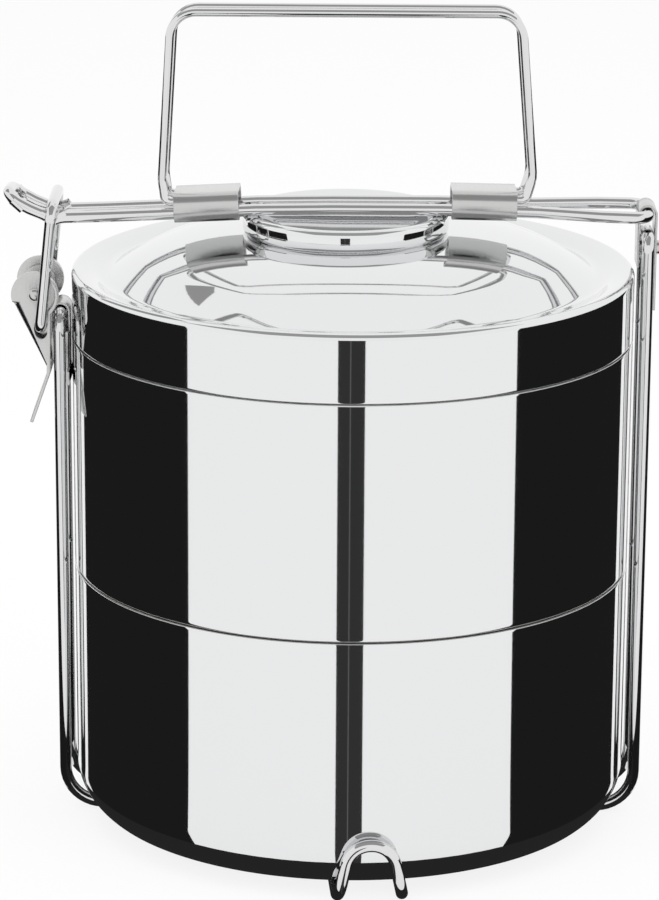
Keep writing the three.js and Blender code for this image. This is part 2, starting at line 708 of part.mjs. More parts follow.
// Latch pivot pin with a head outside each cheek
const cheekInner = earOuter + cheekClearance;
const cheekOuter = cheekInner + leverSheet;
const pinCentre = [pivotX, 0, pivotZ];
const headFrom = cheekOuter + gap;
const pinHalf = headFrom + latchHeadHeight;
add('latch_pivot_rivet', roundBar(latchPinDiameter / 2, -pinHalf, pinHalf, 'y', pinCentre)
  .add(roundBar(latchHeadDiameter / 2, headFrom, pinHalf, 'y', pinCentre))
  .add(roundBar(latchHeadDiameter / 2, -pinHalf, -headFrom, 'y', pinCentre)), 'satin');

// Lever: a channel with its web outwards, drop-shaped cheeks and a thumb tab
const linkPinZ = pivotZ - linkPinDrop;
const linkX = pivotX + linkPinOffset;
const rightDrop = Math.sqrt(leverRadius ** 2 - (rightEdge - pivotX) ** 2);
const startAngle = THREE.MathUtils.radToDeg(Math.atan2(-rightDrop, rightEdge - pivotX));
const cheekOutline = [
  [leverFootX, leverFootZ], [rightEdge - gap, leverFootZ],
  ...arc(pivotX, pivotZ, leverRadius, startAngle, 360 + earStartAngle, 3 * arcSteps),
];
const linkHole = linkWire / 2 + linkHoleClearance;
const cheek = (fromY, toY) => plate(cheekOutline, fromY, toY,
  [[pivotX, pivotZ, pivotHole], [linkX, linkPinZ, linkHole]]);
const webInset = ([x, z]) => [x - leanX * leverSheet, z - leanZ * leverSheet];
const web = [[earTouchX, earTouchZ], [leverFootX, leverFootZ]];
const webOutline = [...web, ...web.map(webInset).reverse()];
const tabTipX = leverFootX - tabReach;
const tabTipZ = leverFootZ - tabDrop;
const tabScale = leverSheet / Math.hypot(tabReach, tabDrop);
const tabNormal = [tabDrop * tabScale, -tabReach * tabScale];
const tabOutline = [
  [leverFootX, leverFootZ + leverSheet], [tabTipX, tabTipZ],
  [tabTipX + tabNormal[0], tabTipZ + tabNormal[1]],
  [leverFootX + tabNormal[0], leverFootZ + tabNormal[1] + leverSheet],
];
add('latch_lever', cheek(cheekInner, cheekOuter).add(cheek(-cheekOuter, -cheekInner))
  .add(plate(webOutline, -cheekOuter, cheekOuter))
  .add(plate(tabOutline, -tabWidth / 2, tabWidth / 2)), 'satin');

// Link: a wire stirrup that hooks over the end of the bar
const linkHalf = halfPitch + wireRadius + linkWire / 2 + linkClearance;
const linkPinTip = cheekInner - linkPinTail;
const linkTopX = -uprightReach - linkTopStandOff;
const linkTopZ = barHeight - barCamber + wireRadius + linkWire / 2 + linkTopSeat;
const linkSide = (turn) => [
  [linkX, turn * linkPinTip, linkPinZ],
  [linkX, turn * linkHalf, linkPinZ, linkFootBend],
  [linkTopX, turn * linkHalf, linkTopZ, linkTopBend],
];
add('latch_link', openWire([...linkSide(-1), ...linkSide(1).reverse()], linkWire), 'wire');

// The origin lies under the middle of the box's whole width
const group = new THREE.Group();
assembly.position.x = (leftReach - rightReach) / 2;
group.add(assembly);
export default group;
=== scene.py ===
import math

import bpy
from mathutils import Matrix, Vector


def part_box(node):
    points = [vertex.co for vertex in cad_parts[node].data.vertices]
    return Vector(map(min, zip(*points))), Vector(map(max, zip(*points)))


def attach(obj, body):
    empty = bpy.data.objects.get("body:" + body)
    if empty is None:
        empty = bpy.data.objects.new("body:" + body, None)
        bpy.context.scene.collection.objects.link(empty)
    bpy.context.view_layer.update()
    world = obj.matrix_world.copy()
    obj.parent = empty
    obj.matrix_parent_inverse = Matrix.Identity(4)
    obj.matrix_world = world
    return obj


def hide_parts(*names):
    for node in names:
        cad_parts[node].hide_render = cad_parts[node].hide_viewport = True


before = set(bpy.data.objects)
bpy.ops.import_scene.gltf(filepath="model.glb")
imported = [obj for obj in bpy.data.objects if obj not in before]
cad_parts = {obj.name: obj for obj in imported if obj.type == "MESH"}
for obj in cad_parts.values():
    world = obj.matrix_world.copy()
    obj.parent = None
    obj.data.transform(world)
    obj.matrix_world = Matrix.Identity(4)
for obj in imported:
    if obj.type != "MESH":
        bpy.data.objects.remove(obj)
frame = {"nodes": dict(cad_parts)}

bl_info = {
    "name": "Insulated tiffin box",
    "version": (1, 0, 0),
    "blender": (4, 5, 0),
    "location": "View3D > Sidebar > Tiffin",
    "description": "Models the visible pieces of a two-tier insulated tiffin box round its frame",
    "category": "Add Mesh",
}

MM = 0.001
Y_AXIS = Vector((0, 1, 0))
TURN_SIDES = 160
WIRE_SIDES = 24
BEND_STEPS = 10
SLEEVE_STEPS = 8
LEVER_STEPS = 6
HEAD_STEPS = 5
HEAD_SIDES = 48
DOME_SHARE = 0.86
CLOSE, WELD, OVERLAP, RING_WELD = (reach * MM for reach in (0.01, 0.02, 0.05, 0.15))
SHELL_EDGE, BOWL_EDGE, FOLD_EDGE, LEVER_EDGE, TAB_EDGE = (
    width * MM for width in (0.1, 0.12, 0.14, 0.16, 0.2))
MOSTLY, NEARLY, SLIGHTLY = 0.92, 0.9, 0.03


def low(node):
    return Vector(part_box(node)[0])


def high(node):
    return Vector(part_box(node)[1])


def extents(node):
    """A round piece's middle along X, its radius, its foot and its top."""
    foot, top = low(node), high(node)
    return (foot.x + top.x) / 2, (top.x - foot.x) / 2, foot.z, top.z


# The containers' axis, which the bar, the frame and the latch are all placed from
AXIS_X, OUTER_RADIUS = extents("lower_outer_shell")[:2]


def length(name, description, millimetres):
    return bpy.props.FloatProperty(name=name, description=description, default=millimetres * MM,
                                   unit="LENGTH", precision=5)


def turn_of(name, description, degrees):
    return bpy.props.FloatProperty(name=name, description=description, default=math.radians(degrees),
                                   subtype="ANGLE")


def colour(name, description, default):
    return bpy.props.FloatVectorProperty(name=name, description=description, default=default,
                                         subtype="COLOR", size=3, min=0, max=1)


class TiffinSheetSizes(bpy.types.PropertyGroup):
    wall: length("Wall", "Sheet of the containers and the lid", 0.6)
    fitting: length("Fitting sheet", "Sheet of the strap, bracket and sleeves", 0.6)
    lever: length("Lever sheet", "Sheet of the latch lever", 0.8)
    gap: length("Gap", "Clearance between pieces that touch", 0.3)
    base_corner: length("Base corner", "Radius of the lower container's bottom corner", 12)
    base_drop: length("Base corner drop", "Height of the bottom corner above its ring", 9.8)
    base_ring: length("Base ring", "Width of the flat ring round the base", 7)
    base_recess: length("Base recess", "How far the base is drawn in", 3.7)
    seam_round: length("Seam rounding", "Rounding of a container's bottom edge", 0.8)
    plug_radius: length("Plug radius", "Radius of the plugs under the upper container and lid", 61)
    plug_round: length("Plug rounding", "Rounding of a plug's bottom edge", 2)
    base_opening: length("Base opening", "Radius of the opening under the upper container", 50)
    bowl_radius: length("Bowl radius", "Inner radius of the bowls", 63)
    bowl_round: length("Bowl rounding", "Radius of the bowls' bottom corner", 9)
    rim_round: length("Rim rounding", "Rounding of the lid's rim", 1.5)
    rim_width: length("Rim width", "Width of the lid's sloping rim", 8.5)
    rim_fall: length("Rim fall", "Depth of the trough inside the lid's rim", 1.9)
    trough_round: length("Trough rounding", "Softness of the trough", 3)
    dome_rise: length("Dome rise", "Height of the dome above the rim", 9)
    dome_power: bpy.props.FloatProperty(name="Dome power", default=4,
                                        description="How flat the dome is in its middle")
    knob_round: length("Knob rounding", "Rounding of the knob's band", 1.6)
    knob_neck: length("Knob neck", "Radius of the knob's neck", 22)
    knob_wall: length("Knob wall", "Wall of the knob's neck", 1.5)
    knob_dish: length("Knob dish", "Depth of the dish in the knob's top", 2.3)
    knob_band: length("Knob band", "Height of the knob's band", 5.6)
    knob_groove: length("Knob groove", "Depth of the bar's grooves in the knob", 1.6)


class TiffinWireSizes(bpy.types.PropertyGroup):
    frame: length("Frame wire", "Diameter of the frame's and bar's wire", 3)
    handle: length("Handle wire", "Diameter of the handle's wires", 2.2)
    link: length("Link wire", "Diameter of the latch link's wire", 2.8)
    pitch: length("Wire pitch", "Distance between the two wires of a pair", 17)
    reach: length("Upright reach", "From the axis to the uprights", 72.7)
    latch_height: length("Latch upright height", "Top of the left uprights' centre line", 129.9)
    hinge_height: length("Hinge upright height", "Top of the right uprights' centre line", 150.72)
    top_bend: length("Top bend", "Bend at the tops of the uprights", 4)
    base_bend: length("Base bend", "Bend where the uprights turn under the base", 9.5)
    foot_pitch: length("Foot pitch", "Distance between the foot loop's wires", 15.8)
    foot_reach: length("Foot reach", "From the axis to the foot arches", 72.6)
    foot_height: length("Foot arch height", "Top of the foot arches' centre line", 15.5)
    foot_width: length("Foot arch width", "Width of the foot arches' corners", 10)
    foot_bend: length("Foot bend", "Bend at the bottom of the foot arches", 5)
    arch_bend: length("Arch bend", "Bend at the top of the foot arches", 6)
    foot_ramp: length("Foot ramp", "Run in which the foot wires rise over the side wires", 8)
    foot_turn: turn_of("Foot turn", "How far the foot loop is turned", 4.2)
    bar_height: length("Bar height", "Middle of the top bar", 156.62)
    bar_camber: length("Bar camber", "How far the bar falls to the latch side", 2.5)
    hinge_axis: length("Hinge axis height", "Height of the bar's hinge", 155.62)
    hook_reach: length("Hook reach", "From the axis to the end of the hook", 85)
    hook_rise: length("Hook rise", "How far the hook turns up", 5.8)
    hook_bend: length("Hook bend", "Bend at the end of the hook", 5)
    link_top: length("Link height", "Height of the link's cross wire", 158.12)
    link_across: length("Link reach", "From the axis to the link's cross wire", 73.9)
    link_pitch: length("Link pitch", "Distance between the link's legs", 23.6)
    link_bend: length("Link pin bend", "Bend at the link's pins", 2)
    link_top_bend: length("Link top bend", "Bend at the link's cross wire", 4)
    link_tip: length("Link pin", "Where the link's pins end", 7.6)


class TiffinFittingSizes(bpy.types.PropertyGroup):
    lean: turn_of("Handle lean", "How far the handle leans back", 5.2)
    handle_offset: length("Handle offset", "The handle's middle from the axis", -1.96)
    sleeve_length: length("Sleeve length", "Length of a sleeve along the bar", 16)
    sleeve_spacing: length("Sleeve spacing", "Distance between the sleeves' middles", 68.3)
    sleeve_depth: length("Sleeve depth", "Depth of a sleeve across the bar", 21.8)
    sleeve_height: length("Sleeve height", "Height of a sleeve", 7.3)
    sleeve_drop: length("Sleeve drop", "A sleeve's underside below the bar's middle", 2.4)
    sleeve_round: length("Sleeve rounding", "Rounding of a sleeve's edges", 3.2)
    wire_lift: length("Handle wire lift", "Handle wires above the bar wires in a sleeve", 2.9)
    handle_height: length("Handle height", "Top of the handle's centre line", 204.65)
    handle_top: length("Handle top width", "Width of the handle's top corners", 85.5)
    handle_foot: length("Handle foot width", "Width of the handle's feet", 91)
    handle_skew: length("Handle skew", "How far the handle's feet stand to the right", 0.45)
    handle_bend: length("Handle bend", "Bend at the handle's top", 6.4)
    foot_bend: length("Handle foot bend", "Bend into a sleeve", 1.8)
    slant_height: length("Handle slant height", "Height of the slant at a handle's foot", 5.5)
    slant_bend: length("Handle slant bend", "Bend at the top of the slant", 8)
    strap_width: length("Strap width", "Width of the hinge strap", 9)
    inner_leaf: length("Inner leaf", "Hinge strap's leaf on the lid's side", 13.5)
    outer_leaf: length("Outer leaf", "Hinge strap's outer leaf", 24.3)
    pivot_across: length("Pivot reach", "From the axis to the lever's pivot", 78.6)
    pivot_height: length("Pivot height", "Height of the lever's pivot", 135.3)
    pin_across: length("Link pin offset", "The link's pin from the pivot", 1.4)
    pin_drop: length("Link pin drop", "The link's pin under the pivot", 8)
    lever_round: length("Lever rounding", "Radius of the lever's cheeks", 5.9)
    lever_span: length("Lever span", "Width over the lever's cheeks", 18.2)
    lever_bend: length("Lever bend", "Bend between web and cheeks", 2.3)
    lever_foot_across: length("Lever foot reach", "From the axis to the foot of the web", 75.6)
    lever_foot: length("Lever foot height", "Height of the foot of the web", 115.9)
    rim_height: length("Lever rim", "How far the rim along a cheek's edge stands out", 0.9)
    slot_radius: length("Lever slot", "Half the width of the slots for the link's pins", 1.75)
    slot_drop: length("Lever slot drop", "How far the slots reach under the pins", 1)
    tab_across: length("Tab reach", "From the axis to the tab's tip", 80.1)
    tab_height: length("Tab height", "Height of the tab's tip", 102.2)
    tab_lap: length("Tab lap", "How far the tab reaches up inside the web", 2)
    tab_bend: length("Tab bend", "Bend between web and tab", 1.2)
    tab_width: length("Tab width", "Width of the tab", 15)
    ear_round: length("Ear rounding", "Radius of the bracket's ears", 4)
    ear_span: length("Ear span", "Width over the bracket's ears", 13.4)
    ear_top: length("Ear top", "Height of the ears behind the wires", 125.3)
    bracket_foot: length("Bracket foot", "Bottom of the bracket", 112.4)
    bracket_feet: length("Bracket feet", "Height of the bracket's feet", 3.5)
    bracket_span: length("Bracket span", "Width over the bracket's feet", 19.6)
    bracket_width: length("Bracket width", "Width of the bracket's hook", 8.4)
    bracket_lip: length("Bracket lip", "Outer leaf of the bracket's hook", 3.2)
    pin_radius: length("Pivot pin", "Radius of the lever's pivot pin", 1.5)
    head_radius: length("Pivot head", "Radius of the pivot pin's head", 1.75)


class TiffinFinish(bpy.types.PropertyGroup):
    polished: colour("Polished steel", "Containers, lid and knob", (0.80, 0.805, 0.81))
    satin: colour("Satin steel", "Sleeves, strap, bracket and lever", (0.60, 0.60, 0.595))
    wire: colour("Wire", "Frame, bar, handle and link wires", (0.74, 0.74, 0.745))
    inside: colour("Pressed steel", "Bowls, plugs and discs", (0.70, 0.705, 0.71))
    foam: colour("Foam", "Filling of the walls", (0.80, 0.72, 0.50))
    rubber: colour("Silicone", "Seals", (0.74, 0.75, 0.73))


def sheet():
    return bpy.context.scene.tiffin_sheet


def wires():
    return bpy.context.scene.tiffin_wire


def fittings():
    return bpy.context.scene.tiffin_fitting


def finish():
    return bpy.context.scene.tiffin_finish


def new_node(tree, kind, **sockets):
    node = tree.nodes.new(kind)
    for name, value in sockets.items():
        node.inputs[name].default_value = value
    return node


def new_material(name):
    material = bpy.data.materials.new(name)
    material.use_nodes = True
    tree = material.node_tree
    return material, tree, tree.nodes["Principled BSDF"]


def steel(name, base, roughness, spread, grain, grain_depth, smudge):
    """Steel with a grain that is finest along the axis with the largest scale, and faint smudges."""
    material, tree, shader = new_material(name)
    shader.inputs["Base Color"].default_value = (*base, 1)
    shader.inputs["Metallic"].default_value = 1
    place = tree.nodes.new("ShaderNodeTexCoord")
    stretch = new_node(tree, "ShaderNodeMapping", Scale=grain)
    lines = new_node(tree, "ShaderNodeTexNoise", Scale=1, Detail=3, Roughness=0.6)
    clouds = new_node(tree, "ShaderNodeTexNoise", Scale=38, Detail=4, Roughness=0.55)
    span = new_node(tree, "ShaderNodeMapRange")
    span.inputs["To Min"].default_value = roughness - spread
    span.inputs["To Max"].default_value = roughness + spread
    bump = new_node(tree, "ShaderNodeBump", Strength=grain_depth, Distance=0.2 * MM)
    mix = tree.nodes.new("ShaderNodeMix")
    mix.inputs["Factor"].default_value = smudge
    join = tree.links.new
    join(place.outputs["Object"], stretch.inputs["Vector"])
    join(place.outputs["Object"], clouds.inputs["Vector"])
    join(stretch.outputs["Vector"], lines.inputs["Vector"])
    join(lines.outputs["Fac"], mix.inputs["A"])
    join(clouds.outputs["Fac"], mix.inputs["B"])
    join(mix.outputs["Result"], span.inputs["Value"])
    join(span.outputs["Result"], shader.inputs["Roughness"])
    join(lines.outputs["Fac"], bump.inputs["Height"])
    join(bump.outputs["Normal"], shader.inputs["Normal"])
    return material


def soft_solid(name, base, roughness, scale, depth):
    """Foam or silicone, with a fine uneven surface."""
    material, tree, shader = new_material(name)
    shader.inputs["Roughness"].default_value = roughness
    place = tree.nodes.new("ShaderNodeTexCoord")
    cells = new_node(tree, "ShaderNodeTexNoise", Scale=scale, Detail=3)
    tint = tree.nodes.new("ShaderNodeValToRGB")
    tint.color_ramp.elements[0].color = (*[part * 0.88 for part in base], 1)
    tint.color_ramp.elements[1].color = (*base, 1)
    bump = new_node(tree, "ShaderNodeBump", Strength=depth, Distance=0.3 * MM)
    join = tree.links.new
    join(place.outputs["Object"], cells.inputs["Vector"])
    join(cells.outputs["Fac"], tint.inputs["Fac"])
    join(tint.outputs["Color"], shader.inputs["Base Color"])
    join(cells.outputs["Fac"], bump.inputs["Height"])
    join(bump.outputs["Normal"], shader.inputs["Normal"])
    return material


MATERIALS = {
    "polished_steel": lambda name: steel(name, finish().polished, roughness=0.035, spread=0.015,
                                         grain=(3, 3, 900), grain_depth=0.002, smudge=0.5),
    "satin_steel": lambda name: steel(name, finish().satin, roughness=0.24, spread=0.06,
                                      grain=(3000, 120, 120), grain_depth=0.12, smudge=0.2),
    "steel_wire": lambda name: steel(name, finish().wire, roughness=0.05, spread=0.03,
                                     grain=(420, 420, 420), grain_depth=0.008, smudge=0.4),
    "inner_steel": lambda name: steel(name, finish().inside, roughness=0.2, spread=0.05,
                                      grain=(8, 8, 1400), grain_depth=0.05, smudge=0.4),
    "foam": lambda name: soft_solid(name, finish().foam, roughness=0.9, scale=900, depth=0.5),
    "silicone": lambda name: soft_solid(name, finish().rubber, roughness=0.5, scale=500, depth=0.08),
}


def material(slot):
    name = f"tiffin_{slot}"
    return bpy.data.materials.get(name) or MATERIALS[slot](name)


def object_mode():
    bpy.ops.object.mode_set(mode="OBJECT")


def select_nothing():
    bpy.ops.object.select_all(action="DESELECT")


def select_mesh():
    bpy.ops.mesh.select_all(action="SELECT")


def in_edit_mode():
    bpy.ops.object.transform_apply(location=True, rotation=True, scale=True)
    bpy.ops.object.mode_set(mode="EDIT")
    bpy.ops.mesh.select_mode(type="VERT")
    select_mesh()


def done(name, slot, body, *nodes, smooth=40):
    """Leaves edit mode, shades, names and finishes the piece, and parents it to its body."""
    if bpy.context.mode == "EDIT_MESH":
        object_mode()
    piece = bpy.context.object
    piece.name = piece.data.name = name
    bpy.ops.object.shade_smooth_by_angle(angle=math.radians(smooth))
    piece.data.materials.clear()
    piece.data.materials.append(material(slot))
    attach(piece, body)
    if nodes:
        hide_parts(*nodes)
    select_nothing()
    return piece


def outward():
    select_mesh()
    bpy.ops.mesh.remove_doubles(threshold=WELD)
    bpy.ops.mesh.normals_make_consistent(inside=False)


def modify(kind, **settings):
    """Adds a modifier to the active piece and applies it."""
    piece = bpy.context.object
    modifier = piece.modifiers.new(kind.title(), kind)
    for name, value in settings.items():
        setattr(modifier, name, value)
    bpy.ops.object.modifier_apply(modifier=modifier.name)


def arc(centre_r, centre_z, radius, start, end, steps=8):
    """Points of an arc in a profile, angles in degrees."""
    angles = [math.radians(start + (end - start) * i / steps) for i in range(steps + 1)]
    return [(centre_r + radius * math.cos(a), centre_z + radius * math.sin(a)) for a in angles]


def turned(profile, thickness=0.0, centre_x=AXIS_X):
    """Draws a circle up and out through a profile of radius and height, and closes what reaches the axis.

    With a thickness, the profile is one face of a sheet, and a positive thickness goes inside it."""
    select_nothing()
    radius, height = profile[0]
    begins_on_axis = radius == 0
    if begins_on_axis:
        profile = profile[1:]
        radius, height = profile[0]
    ends_on_axis = profile[-1][0] == 0
    if ends_on_axis:
        profile = profile[:-1]
    bpy.ops.mesh.primitive_circle_add(vertices=TURN_SIDES, radius=radius, location=(centre_x, 0, height))
    in_edit_mode()
    if begins_on_axis:
        bpy.ops.mesh.edge_face_add()
        bpy.ops.mesh.select_mode(type="EDGE")
        bpy.ops.mesh.region_to_loop()
    for next_radius, next_height in profile[1:]:
        bpy.ops.mesh.extrude_edges_move(
            TRANSFORM_OT_translate={"value": (0, 0, next_height - height)})
        share = next_radius / radius
        bpy.ops.transform.resize(value=(share, share, 1), center_override=(centre_x, 0, next_height))
        radius, height = next_radius, next_height
    if ends_on_axis:
        bpy.ops.mesh.edge_face_add()
    outward()
    object_mode()
    if thickness:
        modify("SOLIDIFY", thickness=abs(thickness), offset=-1 if thickness > 0 else 1)


def corner_parts(before, here, after, bend):
    """Where a bend of a given radius starts, its centre, its axis and its angle."""
    back = (before - here).normalized()
    onward = (after - here).normalized()
    turn = math.pi - back.angle(onward)
    start = here + back * bend * math.tan(turn / 2)
    centre = here + (back + onward).normalized() * bend / math.cos(turn / 2)
    return start, centre, onward.cross(back).normalized(), turn


def swept(corners, width, depth=0.0, closed=False):
    """Draws a round wire, or a flat strip lying along Y, through corners with their bends."""
    select_nothing()
    places = [Vector(corner[:3]) for corner in corners]
    bends = [corner[3] if len(corner) > 3 else 0 for corner in corners]
    count = len(places)
    along = (places[1] - places[0]).normalized()
    here = (places[0] + places[1]) / 2 if closed else places[0].copy()
    across = Y_AXIS if depth or abs(along.y) < NEARLY else Vector((1, 0, 0))
    side = (across - along * across.dot(along)).normalized()
    turn = Matrix((side, along.cross(side), along)).transposed().to_euler()
    if depth:
        bpy.ops.mesh.primitive_plane_add(size=1, location=here, rotation=turn)
        bpy.context.object.scale = (width, depth, 1)
    else:
        bpy.ops.mesh.primitive_circle_add(vertices=WIRE_SIDES, radius=width / 2, location=here,
                                          rotation=turn)
    in_edit_mode()
    if depth:
        bpy.ops.mesh.delete(type="ONLY_FACE")
        select_mesh()
    order = range(1, count + 1) if closed else range(1, count - 1)
    for i in order:
        before, corner, after = places[i - 1], places[i % count], places[(i + 1) % count]
        bend = bends[i % count]
        start, centre, axis, angle = corner_parts(before, corner, after, bend)
        bpy.ops.mesh.extrude_edges_move(TRANSFORM_OT_translate={"value": start - here})
        steps = max(2, round(BEND_STEPS * angle / (math.pi / 2)))
        bpy.ops.mesh.spin(steps=steps, angle=-angle, center=centre, axis=axis)
        here = centre + Matrix.Rotation(angle, 3, axis) @ (start - centre)
    goal = (places[0] + places[1]) / 2 if closed else places[-1]
    bpy.ops.mesh.extrude_edges_move(TRANSFORM_OT_translate={"value": goal - here})
    select_mesh()
    if closed:
        bpy.ops.mesh.remove_doubles(threshold=RING_WELD)
    else:
        bpy.ops.mesh.fill_holes(sides=0)
    outward()
    object_mode()


def outlined(points, from_y, to_y):
    """Draws an outline in X and Z vertex by vertex, fills it and pulls it out along Y."""
    select_nothing()
    first = Vector((points[0][0], from_y, points[0][1]))
    bpy.ops.mesh.primitive_plane_add(size=MM, location=first)
    in_edit_mode()
    bpy.ops.mesh.merge(type="CENTER")
    here = first
    for x, z in points[1:]:
        place = Vector((x, from_y, z))
        bpy.ops.mesh.extrude_vertices_move(TRANSFORM_OT_translate={"value": place - here})
        here = place
    bpy.ops.mesh.extrude_vertices_move(TRANSFORM_OT_translate={"value": first - here})
    select_mesh()
    bpy.ops.mesh.remove_doubles(threshold=CLOSE)
    bpy.ops.mesh.edge_face_add()
    bpy.ops.mesh.extrude_region_move(TRANSFORM_OT_translate={"value": (0, to_y - from_y, 0)})
    outward()
    object_mode()


def choose(kind, wanted):
    """Selects the active piece's edges or faces that pass a test, and stays in edit mode."""
    bpy.ops.object.mode_set(mode="EDIT")
    bpy.ops.mesh.select_mode(type=kind)
    bpy.ops.mesh.select_all(action="DESELECT")
    object_mode()
    mesh = bpy.context.object.data
    for part in mesh.edges if kind == "EDGE" else mesh.polygons:
        part.select = wanted(part)
    bpy.ops.object.mode_set(mode="EDIT")


def ends_of(edge):
    return [bpy.context.object.data.vertices[v].co for v in edge.vertices]


def join_pieces(pieces):
    """Joins loose parts of one piece into one object."""
    select_nothing()
    for piece in pieces:
        piece.select_set(True)
    bpy.context.view_layer.objects.active = pieces[0]
    bpy.ops.object.join()


def cut_away(piece, cutter):
    """Takes one solid out of another and leaves the other active."""
    in_edit_mode()
    object_mode()
    bpy.context.view_layer.objects.active = piece
    modify("BOOLEAN", operation="DIFFERENCE", object=cutter, solver="EXACT")
    bpy.data.objects.remove(cutter)
    piece.select_set(True)


def soften(width, segments=3, angle=30):
    modify("BEVEL", width=width, segments=segments, limit_method="ANGLE",
           angle_limit=math.radians(angle), harden_normals=False)


def bowl_profile(floor, top):
    size = sheet()
    flange = OUTER_RADIUS - size.wall - size.gap
    edge = size.fitting
    return [(0, floor), *arc(size.bowl_radius - size.bowl_round, floor + size.bowl_round,
                             size.bowl_round, -90, 0, 12),
            (size.bowl_radius, top - edge), *arc(size.bowl_radius + edge, top - edge, edge, 180, 90, 5),
            (flange, top)]


def make_bowl(name, body):
    floor = low(name).z + sheet().wall
    top = high(name).z
    turned(bowl_profile(floor, top), -sheet().wall)
    soften(BOWL_EDGE)
    done(name.replace("inner_bowl", "food_bowl"), "inner_steel", body, name)


def plug_corner(foot):
    size = sheet()
    return arc(size.plug_radius - size.plug_round, foot + size.plug_round, size.plug_round, -90, 0, 8)


def make_gasket(name, body):
    inner = sheet().plug_radius + sheet().gap
    _, outer, foot, top = extents(name)
    middle = (inner + outer) / 2
    ribs = 3
    rib = (top - foot) / ribs
    profile = [(inner, foot)]
    for number in range(ribs):
        profile += arc(middle, foot + rib * (number + 0.5), outer - middle, -70, 70, 6)
    profile += [(inner, top), (inner, foot)]
    turned(profile)
    done(name.replace("gasket", "seal_ring"), "silicone", body, name)


# A base disc's recess and flat, as shares of its radius
DISC_SHARES = (0.55, 0.9)


def make_disc(name, slot, body):
    _, radius, foot, top = extents(name)
    step = 2 * sheet().wall
    recess, rest = (radius * share for share in DISC_SHARES)
    turned([(0, foot + step / 4), (recess, foot + step / 4), (recess + step, foot), (rest, foot),
            (radius, foot), (radius, top), (0, top)])
    done(name.replace("disc", "plate"), slot, body, name)


class TiffinLowerContainer(bpy.types.Operator):
    """Models the lower container's shell, food bowl and base plate"""
    bl_idname = "tiffin.lower_container"
    bl_label = "Lower container"

    def execute(self, context):
        size = sheet()
        foot, top = low("lower_outer_shell").z, high("lower_outer_shell").z
        centre = OUTER_RADIUS - size.base_corner
        corner_z = foot + size.base_drop
        end = math.degrees(math.asin(size.base_drop / size.base_corner))
        edge = centre + size.base_corner * math.cos(math.radians(end))
        ring = edge - size.base_ring
        turned([(ring, foot + size.base_recess), (ring, foot + size.seam_round),
                *arc(ring + size.seam_round, foot + size.seam_round, size.seam_round, 180, 270, 4),
                (edge - size.seam_round, foot),
                *arc(centre, corner_z, size.base_corner, 3 - end, 0, 24),
                (OUTER_RADIUS, corner_z + size.gap), (OUTER_RADIUS, (corner_z + top) / 2),
                (OUTER_RADIUS, top - size.wall), (OUTER_RADIUS, top)], size.wall)
        soften(SHELL_EDGE)
        done("lower_container_shell", "polished_steel", "lower_container", "lower_outer_shell", smooth=60)
        make_bowl("lower_inner_bowl", "lower_container")
        make_disc("lower_base_disc", "satin_steel", "lower_container")
        return {"FINISHED"}


class TiffinUpperContainer(bpy.types.Operator):
    """Models the upper container's shell with its plug, food bowl, base plate and seal"""
    bl_idname = "tiffin.upper_container"
    bl_label = "Upper container"

    def execute(self, context):
        size = sheet()
        plug_foot, top = low("upper_outer_shell").z, high("upper_outer_shell").z
        seam = high("lower_outer_shell").z + size.gap
        turned([(size.base_opening, plug_foot), *plug_corner(plug_foot), (size.plug_radius, seam),
                (OUTER_RADIUS - size.seam_round, seam),
                *arc(OUTER_RADIUS - size.seam_round, seam + size.seam_round, size.seam_round, -80, 0, 6),
                (OUTER_RADIUS, seam + size.seam_round + size.gap), (OUTER_RADIUS, (seam + top) / 2),
                (OUTER_RADIUS, top - size.wall), (OUTER_RADIUS, top)], size.wall)
        soften(SHELL_EDGE)
        done("upper_container_shell", "polished_steel", "upper_container", "upper_outer_shell", smooth=60)
        make_bowl("upper_inner_bowl", "upper_container")
        make_disc("upper_base_disc", "inner_steel", "upper_container")
        make_gasket("upper_gasket", "upper_container")
        return {"FINISHED"}


def dome_height(radius):
    size = sheet()
    top = rim_top() + size.dome_rise
    edge = OUTER_RADIUS - size.rim_width
    return top - (size.dome_rise + size.rim_fall) * (radius / edge) ** size.dome_power


def rim_top():
    return high("lid_outer_shell").z - sheet().dome_rise


# Inside of the lid's rim: a point on its slope, and shares of the trough's softness and of the rim's fall
DOME_STEPS = 22
SLOPE_SHARE = 0.45
TROUGH_SHARES = [(0.6, 0.12), (0, 0.02), (-0.5, 0.1)]


